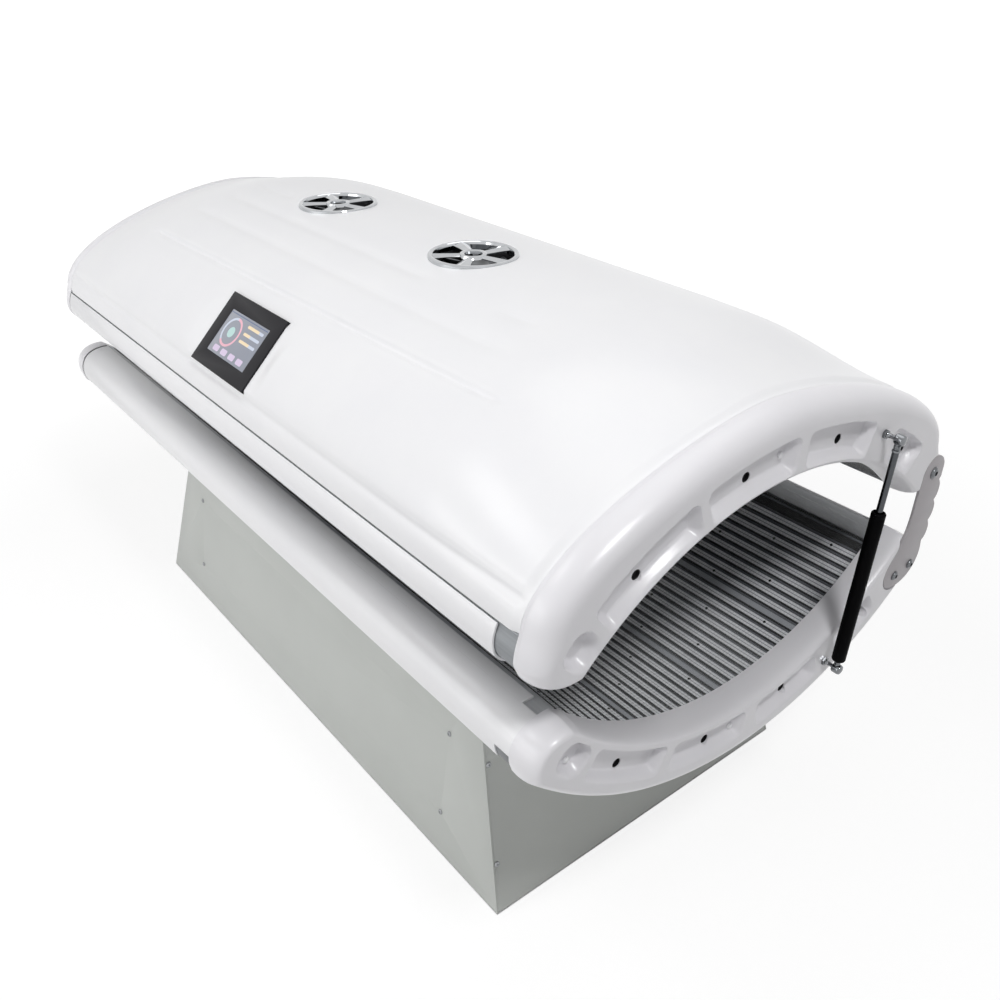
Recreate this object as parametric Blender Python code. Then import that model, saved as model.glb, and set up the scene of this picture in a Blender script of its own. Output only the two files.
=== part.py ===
"""Clamshell light therapy bed: sheet-metal base, tub, hinged canopy, gas springs.

Metres. +X runs along the bed, -Y is the open front, +Y the hinge side, +Z up.
The canopy is closed at rest.
"""

import math

import bmesh
import bpy
from mathutils import Matrix, Vector

for old in list(bpy.data.objects):
    bpy.data.objects.remove(old, do_unlink=True)

# Driving sizes
CAP_FACE_X = 1.070
CAP_DEPTH = 0.064
ARC_R = 0.630
RIM_W = 0.08797
LIE_Z = 0.508
ROOF_Z = 0.983
CANOPY_HALF_W = 0.535
CANOPY_EDGE_Z = 0.889
CANOPY_RISE_END = 0.236
CANOPY_RISE_MID = 0.280
CANOPY_POWER_END = 1.45
CANOPY_POWER_MID = 1.90
CANOPY_CREST = 0.10
CROWN_SHARE = 0.696
PLATFORM_SHARE = 0.721
PLATFORM_U = 0.454
PLATFORM_STEP = 0.004
FIELD_U = 0.8525
FIELD_STEP = 0.003
CREASE_U = 0.009
SHELL_T = 0.005
BELLY_Z = 0.378
BELLY_SQUARE = 0.1960
BELLY_FOURTH = 0.0441
BELLY_INSET = 0.0085
BELLY_TUCK = 0.0068
BELLY_T = 0.004
TUB_TOE_OUT = ((0.010, 0.622), (0.027, 0.660), (0.010, 0.715), (-0.068, 0.7085))
TUB_REAR_OUT = ((0.010, 0.622), (0.025, 0.644), (-0.035, 0.677), (-0.076, 0.704))
CANOPY_TOE_OUT = ((0.035, -0.064), (-0.010, -0.114))
STRIP_STOP = 0.037
STRIP_SEAM = 0.0018
NOTCH_TOP = 0.646
ACRYLIC_SET = 0.004
ACRYLIC_T = 0.005
LED_GAP = 0.017
LED_STRIP_H = 0.004
LED_PLATE_T = 0.006
LED_STRIPS = 41
LED_FILL = 0.60
BASE_FLOOR_X = 0.841
BASE_FLOOR_Y = 0.444
BASE_LEAN_X = 0.311
BASE_LEAN_Y = 0.147
PANEL_T = 0.004
PANEL_LIFT = 0.002
TUBE = 0.040
PIVOT_IN = 0.023
PIVOT_DOWN = 0.057
PIVOT_R = 0.006
BRACKET_T = 0.006
STUD_LOW_SHARE = 0.43899
STUD_LOW_SET = 0.0653
STUD_HIGH_SHARE = 0.52348
STUD_HIGH_SET = 0.0692
STUD_OUT = 0.030
BALL_R = 0.008
GAS_R = 0.014
GAS_LENGTH = 0.362
ROD_R = 0.0065
ROD_END = 0.100
GLAND_R = 0.0097
FAN_XS = (("right", 0.200), ("left", -0.375))
FAN_Y = 0.0
FAN_R = 0.100
FAN_PROUD = 0.0035
FAN_DEPTH = 0.022
DISPLAY_X = -0.037
DISPLAY_U = 0.6754
DISPLAY_SINK = 0.0110
DISPLAY_PAD = 0.012
DISPLAY_RUNOUT = 0.050
DISPLAY_SIZE = (0.252, 0.178)
DISPLAY_TILT_DEG = 45.0
SCREEN_SIZE = (0.174, 0.106)
POCKET_DEPTH = 0.022
POCKET_DRAFT = 0.006
CAVITY_DEPTH = 0.030
HOLE_R = 0.010
POST_X = 0.620
POST_Y = 0.320
SCREW_R = 0.0032
SCREW_ZS = (0.107, 0.320)
SCREW_EDGE = 0.010

# Clearances
GAP = 0.0003
RUN = 0.0001
SWING = 0.0006
BALL_CLEAR = 0.0004

CAP_BACK_X = CAP_FACE_X - CAP_DEPTH
BAY_X = CAP_BACK_X - GAP
CROWN_X = CROWN_SHARE * CAP_BACK_X
PLATFORM_X = PLATFORM_SHARE * CAP_BACK_X
TUB_ARC_Z = LIE_Z + ARC_R
CANOPY_ARC_Z = ROOF_Z - ARC_R
ARC_HALF_W = CANOPY_HALF_W - RIM_W
ARC_END_DEG = math.degrees(math.asin(ARC_HALF_W / ARC_R))
LED_END_DEG = 0.930 * ARC_END_DEG
LED_FACET_DEG = 0.0785 * ARC_END_DEG
STUD_LOW_DEG = STUD_LOW_SHARE * ARC_END_DEG
STUD_HIGH_DEG = STUD_HIGH_SHARE * ARC_END_DEG
CANOPY_TOP_Z = CANOPY_EDGE_Z + CANOPY_RISE_MID + FIELD_STEP + PLATFORM_STEP
FAN_TOP_Z = CANOPY_TOP_Z + FAN_PROUD
TUB_TOE = tuple((CANOPY_HALF_W + out, z) for out, z in TUB_TOE_OUT)
TUB_REAR_TOE = tuple((CANOPY_HALF_W + out, z) for out, z in TUB_REAR_OUT)
CANOPY_TOE = tuple((CANOPY_HALF_W + out, CANOPY_EDGE_Z + up) for out, up in CANOPY_TOE_OUT)
BELLY_REACH = TUB_TOE[0][0] - BELLY_TUCK
PIVOT = (CANOPY_HALF_W - PIVOT_IN, CANOPY_EDGE_Z - PIVOT_DOWN)
STUD_LOW = (
    (ARC_R + STUD_LOW_SET) * math.sin(math.radians(STUD_LOW_DEG)),
    TUB_ARC_Z - (ARC_R + STUD_LOW_SET) * math.cos(math.radians(STUD_LOW_DEG)),
)
STUD_HIGH = (
    (ARC_R + STUD_HIGH_SET) * math.sin(math.radians(STUD_HIGH_DEG)),
    CANOPY_ARC_Z + (ARC_R + STUD_HIGH_SET) * math.cos(math.radians(STUD_HIGH_DEG)),
)
SIDES = (("right", 1.0), ("left", -1.0))
CANOPY_PIVOT = Vector((0.0, PIVOT[0], PIVOT[1]))
BRACKET_FACE_X = CAP_FACE_X - 0.0005
BRACKET_BACK_X = BRACKET_FACE_X - BRACKET_T


def lerp(a, b, t):
    return a + (b - a) * t


def smooth(t):
    t = min(1.0, max(0.0, t))
    return t * t * (3.0 - 2.0 * t)


def material(name, rgb, metallic=0.0, rough=0.4, alpha=1.0):
    found = bpy.data.materials.new(name)
    found.use_nodes = True
    shader = found.node_tree.nodes["Principled BSDF"]
    shader.inputs["Base Color"].default_value = (*rgb, 1.0)
    shader.inputs["Metallic"].default_value = metallic
    shader.inputs["Roughness"].default_value = rough
    shader.inputs["Alpha"].default_value = alpha
    return found


FINISH = {
    "gloss_white": ((0.86, 0.86, 0.87), 0.0, 0.18, 1.0),
    "paint_grey": ((0.55, 0.56, 0.54), 0.0, 0.45, 1.0),
    "paint_white": ((0.74, 0.74, 0.75), 0.0, 0.35, 1.0),
    "aluminium": ((0.62, 0.63, 0.64), 1.0, 0.38, 1.0),
    "steel": ((0.42, 0.42, 0.43), 1.0, 0.45, 1.0),
    "chrome": ((0.80, 0.80, 0.81), 1.0, 0.10, 1.0),
    "black": ((0.03, 0.03, 0.035), 0.0, 0.40, 1.0),
    "led": ((0.52, 0.53, 0.56), 0.2, 0.40, 1.0),
    "acrylic": ((0.92, 0.94, 0.95), 0.0, 0.05, 0.25),
    "screen": ((0.30, 0.36, 0.48), 0.0, 0.15, 1.0),
}


def add(name, shape, finish, origin=(0.0, 0.0, 0.0), helper=False):
    """One object from (points, faces). Its origin is where it is held or turns."""
    points, faces = shape
    origin = Vector(origin)
    mesh = bpy.data.meshes.new(name)
    work = bmesh.new()
    verts = [work.verts.new(Vector(p) - origin) for p in points]
    for face in faces:
        work.faces.new([verts[i] for i in face])
    bmesh.ops.recalc_face_normals(work, faces=work.faces)
    work.to_mesh(mesh)
    work.free()
    obj = bpy.data.objects.new(name, mesh)
    obj.location = origin
    bpy.context.scene.collection.objects.link(obj)
    if helper:
        obj.hide_render = True
        obj.display_type = "WIRE"
    else:
        mesh.materials.append(material(name, *FINISH[finish]))
    return obj


def cut(obj, name, shapes, operation="DIFFERENCE"):
    helper = add(name, merge(shapes), None, helper=True)
    step = obj.modifiers.new(name, "BOOLEAN")
    step.solver = "EXACT"
    step.operation = operation
    step.object = helper


def fuse(obj, shapes):
    for number, shape in enumerate(shapes):
        cut(obj, f"{obj.name}_join{number}", [shape], "UNION")


def merge(shapes):
    points, faces = [], []
    for more, rings in shapes:
        start = len(points)
        points += more
        faces += [[i + start for i in face] for face in rings]
    return points, faces


def loft(sections):
    """Closed solid through loops of equal length."""
    count = len(sections[0])
    points = [p for loop in sections for p in loop]
    faces = [list(range(count)), list(range(len(points) - count, len(points)))]
    for s in range(len(sections) - 1):
        for i in range(count):
            j = (i + 1) % count
            a = s * count
            faces.append([a + i, a + j, a + count + j, a + count + i])
    return points, faces


def prism(loop, x0, x1):
    """A (y, z) loop run along X."""
    return loft([[(x, y, z) for y, z in loop] for x in (x0, x1)])


def circle(y, z, radius, count, start=0.0):
    step = math.tau / count
    return [
        (y + radius * math.cos(start + step * i), z + radius * math.sin(start + step * i))
        for i in range(count)
    ]


def rod_x(y, z, radius, x0, x1, count=24):
    return prism(circle(y, z, radius, count), x0, x1)


def box(low, high):
    loop = [(low[1], low[2]), (high[1], low[2]), (high[1], high[2]), (low[1], high[2])]
    return prism(loop, low[0], high[0])


def lathe(profile, count):
    """Solid turned about Z from a closed (radius, z) loop, or one that ends on the axis."""
    points, rings = [], []
    for radius, z in profile:
        if radius == 0.0:
            rings.append([len(points)])
            points.append((0.0, 0.0, z))
        else:
            rings.append(list(range(len(points), len(points) + count)))
            points += [(x, y, z) for x, y in circle(0.0, 0.0, radius, count)]
    faces = []
    for k in range(len(rings)):
        a, b = rings[k], rings[(k + 1) % len(rings)]
        if len(a) == 1 and len(b) == 1:
            continue
        for i in range(count):
            j = (i + 1) % count
            quad = [a[i % len(a)], a[j % len(a)], b[j % len(b)], b[i % len(b)]]
            faces.append(list(dict.fromkeys(quad)))
    return points, faces


def moved(shape, matrix):
    points, faces = shape
    return [tuple(matrix @ Vector(p)) for p in points], faces


def flip(shape, side):
    points, faces = shape
    return [(x * side, y, z) for x, y, z in points], faces


def mirror_y(loop, sign):
    return [(y * sign, z) for y, z in loop]


def bezier(p0, p1, p2, p3, count):
    found = []
    for i in range(count + 1):
        t = i / count
        weights = ((1 - t) ** 3, 3 * t * (1 - t) ** 2, 3 * t * t * (1 - t), t ** 3)
        found.append(tuple(
            sum(w * p[k] for w, p in zip(weights, (p0, p1, p2, p3))) for k in (0, 1)
        ))
    return found


def offset(line, distance):
    """The open line moved to its left by distance."""
    found = []
    for i, (y, z) in enumerate(line):
        before = line[max(0, i - 1)]
        after = line[min(len(line) - 1, i + 1)]
        run = Vector((after[0] - before[0], after[1] - before[1])).normalized()
        found.append((y - run.y * distance, z + run.x * distance))
    return found


def arc(radius, centre_z, up, start_deg, end_deg, count):
    """(y, z) points on a circle about (0, centre_z); degrees from straight up or down."""
    found = []
    for i in range(count + 1):
        a = math.radians(lerp(start_deg, end_deg, i / count))
        found.append((radius * math.sin(a), centre_z + up * radius * math.cos(a)))
    return found


# Canopy form: a crowned arch, fuller at mid-length, with a raised field and platform
def canopy_blend(x):
    return 1.0 - smooth((abs(x) - CROWN_X) / (CAP_BACK_X - CROWN_X))


def canopy_point(u, blend, inset=0.0):
    s = math.sin(u * math.pi / 2)
    rise = lerp(CANOPY_RISE_END, CANOPY_RISE_MID, blend) - inset
    power = lerp(CANOPY_POWER_END, CANOPY_POWER_MID, blend)
    crest = CANOPY_CREST ** power
    fall = (math.hypot(s, CANOPY_CREST) ** power - crest) / (math.hypot(1.0, CANOPY_CREST) ** power - crest)
    return (CANOPY_HALF_W - inset) * s, CANOPY_EDGE_Z + rise * math.sqrt(max(0.0, 1.0 - fall))


def canopy_raise(u, x):
    field = smooth((FIELD_U - abs(u)) / (2 * CREASE_U) + 0.5)
    field *= smooth((CAP_BACK_X - abs(x)) / 0.06)
    platform = smooth((PLATFORM_U - abs(u)) / (2 * CREASE_U) + 0.5)
    platform *= smooth((PLATFORM_X - abs(x)) / 0.02)
    return FIELD_STEP * field + PLATFORM_STEP * platform


def display_place():
    tilt = math.radians(DISPLAY_TILT_DEG)
    y, z = canopy_point(-DISPLAY_U, 1.0, -FIELD_STEP)
    seat = (DISPLAY_X, y + DISPLAY_SINK * math.sin(tilt), z - DISPLAY_SINK * math.cos(tilt))
    return Matrix.Translation(seat) @ Matrix.Rotation(tilt, 4, "X")


def display_sink(point, place):
    """Vector by which a point of the shell sinks into the flat that the display stands on."""
    local = place.inverted() @ point
    over = max(abs(local.x) - DISPLAY_SIZE[0] / 2, abs(local.y) - DISPLAY_SIZE[1] / 2) - DISPLAY_PAD
    depth = max(0.0, local.z) * (1.0 - smooth(over / DISPLAY_RUNOUT))
    return place.to_3x3() @ Vector((0.0, 0.0, -depth))


def canopy_shell_shape():
    crest = [0.0, 0.115, 0.23, 0.345, PLATFORM_U - CREASE_U, PLATFORM_U + CREASE_U]
    foot = [FIELD_U - CREASE_U, FIELD_U + CREASE_U, 0.93, 1.0]
    front_u = crest + [0.53, 0.58, 0.63, 0.68, 0.73, 0.78] + foot
    rear_u = crest + [0.56, 0.66, 0.76] + foot
    us = [-u for u in reversed(front_u[1:])] + rear_u
    half_x = [0.0, CROWN_X] + [lerp(PLATFORM_X, BAY_X, k / 4) for k in range(5)]
    xs = [-x for x in reversed(half_x[1:])] + half_x
    flat = DISPLAY_SIZE[0] / 2 + DISPLAY_PAD
    for away in (flat, flat + DISPLAY_RUNOUT / 2, flat + DISPLAY_RUNOUT):
        xs += [DISPLAY_X - away, DISPLAY_X + away]
    xs.sort()
    place = display_place()
    points = []
    for depth in (0.0, SHELL_T):
        for x in xs:
            for u in us:
                lift, blend = canopy_raise(u, x), canopy_blend(x)
                sink = display_sink(Vector((x, *canopy_point(u, blend, -lift))), place)
                points.append(tuple(Vector((x, *canopy_point(u, blend, depth - lift))) + sink))
    rows, cols = len(xs), len(us)
    inner = rows * cols
    faces = []
    for r in range(rows - 1):
        for c in range(cols - 1):
            a = r * cols + c
            quad = [a, a + 1, a + cols + 1, a + cols]
            faces.append(quad)
            faces.append([i + inner for i in reversed(quad)])
        for a in (r * cols, r * cols + cols - 1):
            faces.append([a, a + cols, a + cols + inner, a + inner])
    for c in range(cols - 1):
        for a in (c, (rows - 1) * cols + c):
            faces.append([a, a + 1, a + 1 + inner, a + inner])
    return points, faces


def canopy_cap_loop(inset):
    """End cap outline: outer arch, front toe, inner arc, rear toe."""
    steps = 16
    outer = [canopy_point(1.0 - 2.0 * i / steps, 0.0, inset) for i in range(steps + 1)]
    radius = ARC_R + 0.4 * inset
    inner = arc(radius, CANOPY_ARC_Z, 1.0, -ARC_END_DEG, ARC_END_DEG, 12)
    toe = canopy_toe(5, inset)[1:-1]
    return outer + mirror_y(reversed(toe), -1.0) + inner + toe


def canopy_toe(count, inset=0.0):
    """Rounded edge of the canopy, from its lip up to the shell."""
    (y1, z1), (y2, z2) = CANOPY_TOE
    return bezier(
        polar(CANOPY_ARC_Z, 1.0, ARC_END_DEG, ARC_R + 0.4 * inset),
        (y2 - 0.45 * inset, z2 + 0.75 * inset),
        (y1 - 0.7 * inset, z1 + 0.35 * inset),
        (CANOPY_HALF_W - inset, CANOPY_EDGE_Z),
        count,
    )


def belly_z(y):
    share = y / TUB_TOE[0][0]
    return BELLY_Z + BELLY_SQUARE * share ** 2 + BELLY_FOURTH * share ** 4


def belly_floor(y):
    return belly_z(y) + BELLY_INSET


BELLY_YS = [BELLY_REACH * math.sin(math.pi / 2 * (2.0 * i / 20 - 1.0)) for i in range(21)]


def belly_run(reach, lift):
    """The belly pan's faceted underside from -reach to reach, raised by lift."""
    found = []
    for y in [-reach] + [y for y in BELLY_YS if abs(y) < reach - 0.001] + [reach]:
        k = max(i for i in range(20) if BELLY_YS[i] <= y)
        y0, y1 = BELLY_YS[k], BELLY_YS[k + 1]
        found.append((y, lerp(belly_floor(y0), belly_floor(y1), (y - y0) / (y1 - y0)) + lift))
    return found


def tub_toe(count, inset=0.0, toe=TUB_TOE):
    """Rounded edge of the tub, from its underside up to the lip; the rear one falls away behind it."""
    (y0, z0), (y1, z1), (y2, z2), (y3, z3) = toe
    return bezier(
        (y0 - 0.4 * inset, z0 + 0.5 * inset),
        (y1 - 0.8 * inset, z1),
        (y2 - 0.6 * inset, z2 - 0.5 * inset),
        (y3, z3 - 0.45 * inset),
        count,
    )


def tub_cap_loop(inset):
    steps = 14
    reach = TUB_TOE[0][0] - 0.4 * inset
    outer = []
    for i in range(1, steps):
        y = reach * math.sin(math.pi / 2 * (2.0 * i / steps - 1.0))
        outer.append((y, belly_z(y) + inset))
    rear = tub_toe(5, inset, TUB_REAR_TOE)
    front = mirror_y(tub_toe(5, inset), -1.0)
    inner = arc(ARC_R + 0.4 * inset, TUB_ARC_Z, -1.0, ARC_END_DEG, -ARC_END_DEG, 12)
    return outer + rear + inner + list(reversed(front))


def pocket(centre_z, up, start_deg, end_deg, r0, r1):
    """Drafted pocket between two rays and two radii, open at the cap's face."""
    sections = []
    for depth in (-0.004, POCKET_DEPTH):
        draft = POCKET_DRAFT * max(0.0, depth) / POCKET_DEPTH
        low, high = r0 + draft, r1 - draft
        turn = math.degrees(draft / r0)
        start, end = start_deg + turn, end_deg - turn
        round_deg = math.degrees(0.009 / r0)
        near = arc(low, centre_z, up, start + round_deg, end - round_deg, 3)
        far = arc(high, centre_z, up, end - round_deg, start + round_deg, 3)
        right = arc(1.0, 0.0, 1.0, end, end, 1)[0]
        left = arc(1.0, 0.0, 1.0, start, start, 1)[0]
        loop = near
        loop += [(right[0] * r, centre_z + up * right[1] * r) for r in (low + 0.009, high - 0.009)]
        loop += far
        loop += [(left[0] * r, centre_z + up * left[1] * r) for r in (high - 0.009, low + 0.009)]
        sections.append([(CAP_FACE_X - depth, y, z) for y, z in loop])
    return loft(sections)


def polar(centre_z, up, degrees, radius):
    return arc(radius, centre_z, up, degrees, degrees, 1)[0]


def cavity(centre_z, up, start_deg, end_deg, r0, r1):
    loop = arc(r0, centre_z, up, start_deg, end_deg, 6)
    loop += arc(r1, centre_z, up, end_deg, start_deg, 6)
    return prism(loop, CAP_BACK_X - 0.010, CAP_BACK_X + CAVITY_DEPTH)


CANOPY_POCKETS = (
    (-0.9956, -0.8805), (-0.8319, -0.4115), (-0.3628, 0.0310), (0.0885, 0.4513), (0.6018, 0.8319),
)
CANOPY_HOLES = (
    (-0.6608, 0.0395), (-0.1679, 0.0437), (0.3093, 0.0480), (0.7500, 0.0480),
)
TUB_POCKETS = (
    (-1.0177, -0.8938), (-0.8496, -0.4690), (-0.4115, -0.0265), (0.0531, 0.3850), (0.5133, 0.7389),
)
TUB_HOLES = (
    (-0.6604, 0.0590), (-0.1861, 0.0640), (0.2400, 0.0660), (0.6900, 0.0640),
)
POCKET_RADII = (ARC_R + 0.029, ARC_R + 0.084)
CAVITY_RADII = (ARC_R + 0.048, ARC_R + 0.114)
CANOPY_FILLET = ((0.0, 0.0), (0.032, 0.003), (0.052, 0.014), (CAP_DEPTH, 0.034))
TUB_FILLET = ((0.0, 0.0), (0.034, 0.002), (0.053, 0.010), (CAP_DEPTH, 0.024))

# Hinge plate outline: rounded top about the pivot, scalloped outer edge, foot over two bolts
PLATE_TOP_R = 0.038
PLATE_REAR = (
    (0.0365, -0.0200), (0.0320, -0.0255), (0.0395, -0.0380), (0.0408, -0.0520), (0.0380, -0.0650),
    (0.0305, -0.0745), (0.0380, -0.0870), (0.0390, -0.1010), (0.0355, -0.1140), (0.0275, -0.1235),
    (0.0340, -0.1370), (0.0340, -0.1510), (0.0290, -0.1640), (0.0200, -0.1720), (0.0230, -0.1900),
    (0.0210, -0.2100), (0.0110, -0.2320), (-0.0080, -0.2490), (-0.0340, -0.2580), (-0.0650, -0.2590),
)
PLATE_FRONT = (
    (-0.0880, -0.2490), (-0.1000, -0.2290), (-0.0990, -0.2060), (-0.0880, -0.1860), (-0.0680, -0.1610),
    (-0.0530, -0.1320), (-0.0450, -0.0990), (-0.0420, -0.0620), (-0.0405, -0.0270),
)
PLATE_BOLTS = tuple((PIVOT[0] + y, PIVOT[1] + z) for y, z in ((-0.008, -0.220), (-0.062, -0.228)))


def plate_outline(grow=0.0):
    top = [
        (PIVOT[0] + (PLATE_TOP_R + grow) * math.cos(a), PIVOT[1] + (PLATE_TOP_R + grow) * math.sin(a))
        for a in (math.radians(170.0 - 20.0 * i) for i in range(9))
    ]
    loop = top + [(PIVOT[0] + y, PIVOT[1] + z) for y, z in PLATE_REAR + PLATE_FRONT]
    if grow == 0.0:
        return loop
    line = offset(loop[len(top) - 1:] + [loop[0]], grow)
    return top + line[1:-1]


def build_base():
    def front_y(z):
        return BASE_FLOOR_Y - BASE_LEAN_Y * z

    def end_x(z):
        return BASE_FLOOR_X - BASE_LEAN_X * z

    skew_y = math.hypot(1.0, BASE_LEAN_Y)
    top = 0.45
    for _ in range(30):
        top = belly_floor(front_y(top) - PANEL_T * skew_y) - GAP
    skew_x = math.hypot(1.0, BASE_LEAN_X)
    for name, sign in (("base_front_panel", -1.0), ("base_rear_panel", 1.0)):
        loops = []
        for depth in (0.0, PANEL_T * skew_y):
            corners = [(end_x(z) * s, z) for z, s in
                       ((PANEL_LIFT, -1), (PANEL_LIFT, 1), (top, 1), (top, -1))]
            loops.append([(x, sign * (front_y(z) - depth), z) for x, z in corners])
        panel = add(name, loft(loops), "paint_grey")
        tilt = Matrix.Rotation(sign * math.atan(BASE_LEAN_Y), 4, "X")

        def on_panel(x, z, shape):
            return moved(shape, Matrix.Translation((x, sign * front_y(z), z)) @ tilt)

        holes = []
        for x, z in [(side * POST_X, z) for side in (1.0, -1.0) for z in SCREW_ZS]:
            turned = moved(lathe([(0.0, -0.03), (SCREW_R, -0.03), (SCREW_R, 0.03), (0.0, 0.03)], 8),
                           Matrix.Rotation(math.pi / 2, 4, "X"))
            holes.append(on_panel(x, z, turned))
        if sign > 0:
            for row in range(4):
                for x in (-0.30, 0.30):
                    slot = box((-0.11, -0.03, -0.004), (0.11, 0.03, 0.004))
                    holes.append(on_panel(x, 0.12 + 0.030 * row, slot))
            holes.append(on_panel(0.56, 0.12, box((-0.0153, -0.03, -0.0243), (0.0153, 0.03, 0.0243))))
        cut(panel, name + "_holes", holes)
        if sign > 0:
            body = box((-0.015, -0.030, -0.024), (0.015, 0.001, 0.024))
            inlet = add("mains_inlet", on_panel(0.56, 0.12, body), "black")
            fuse(inlet, [on_panel(0.56, 0.12, box((-0.023, GAP, -0.031), (0.023, 0.003, 0.031)))])
            socket = box((-0.0105, -0.022, -0.0145), (0.0105, 0.01, 0.0145))
            cut(inlet, "mains_inlet_socket", [on_panel(0.56, 0.12, socket)])

    for label, side in SIDES:
        reach = front_y(top) - PANEL_T * skew_y - GAP
        foot = front_y(PANEL_LIFT) - PANEL_T * skew_y - GAP
        outline = [(-foot, PANEL_LIFT), (foot, PANEL_LIFT)]
        outline += list(reversed(belly_run(reach, -GAP)))
        loops = []
        for depth in (GAP, GAP + PANEL_T * skew_x):
            loops.append([(side * (end_x(z) - depth), y, z) for y, z in outline])
        panel = add(f"base_end_panel_{label}", loft(loops), "paint_grey")
        holes = []
        for z in SCREW_ZS:
            x, edge = end_x(z) - GAP, front_y(z) - SCREW_EDGE
            for y in (-edge, edge):
                holes.append(flip(rod_x(y, z, SCREW_R, x - 0.03, x + 0.03, 8), side))
        cut(panel, f"base_end_panel_{label}_holes", holes)

    out_y = front_y(TUBE) - PANEL_T * skew_y - GAP
    out_x = end_x(TUBE) - GAP - PANEL_T * skew_x - GAP
    deck = belly_floor(POST_Y) - 0.014
    frame = add("base_frame", box((-out_x, -out_y, 0.0), (out_x, TUBE - out_y, TUBE)), "steel")
    bars = [box((-out_x, out_y - TUBE, 0.0), (out_x, out_y, TUBE))]
    for side in (1.0, -1.0):
        for x in (out_x - TUBE / 2, POST_X):
            bars.append(box((side * x - TUBE / 2, -out_y + 0.001, 0.0),
                            (side * x + TUBE / 2, out_y - 0.001, TUBE)))
        for y in (-POST_Y, POST_Y):
            bars.append(box((side * POST_X - TUBE / 2, y - TUBE / 2, TUBE / 2),
                            (side * POST_X + TUBE / 2, y + TUBE / 2, deck - 0.001)))
        saddle = belly_run(0.34, -GAP)
        saddle += [(0.34, deck - 0.030), (0.25, 0.345), (-0.25, 0.345), (-0.34, deck - 0.030)]
        bars.append(prism(saddle, side * POST_X - 0.015, side * POST_X + 0.015))
        bars.append(box((-POST_X - TUBE, side * POST_Y - 0.017, deck - TUBE),
                        (POST_X + TUBE, side * POST_Y + 0.017, deck)))
    fuse(frame, bars)

    for label, side in SIDES:
        x = side * POST_X
        low = TUBE + GAP
        case = add(f"power_supply_{label}", box((x - 0.13, -0.07, low), (x + 0.13, 0.07, low + 0.085)),
                   "aluminium")
        fins = [box((x - 0.12 + 0.03 * i, -0.08, low + 0.055), (x - 0.11 + 0.03 * i, 0.08, low + 0.1))
                for i in range(9)]
        cut(case, f"power_supply_{label}_fins", fins)


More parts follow.
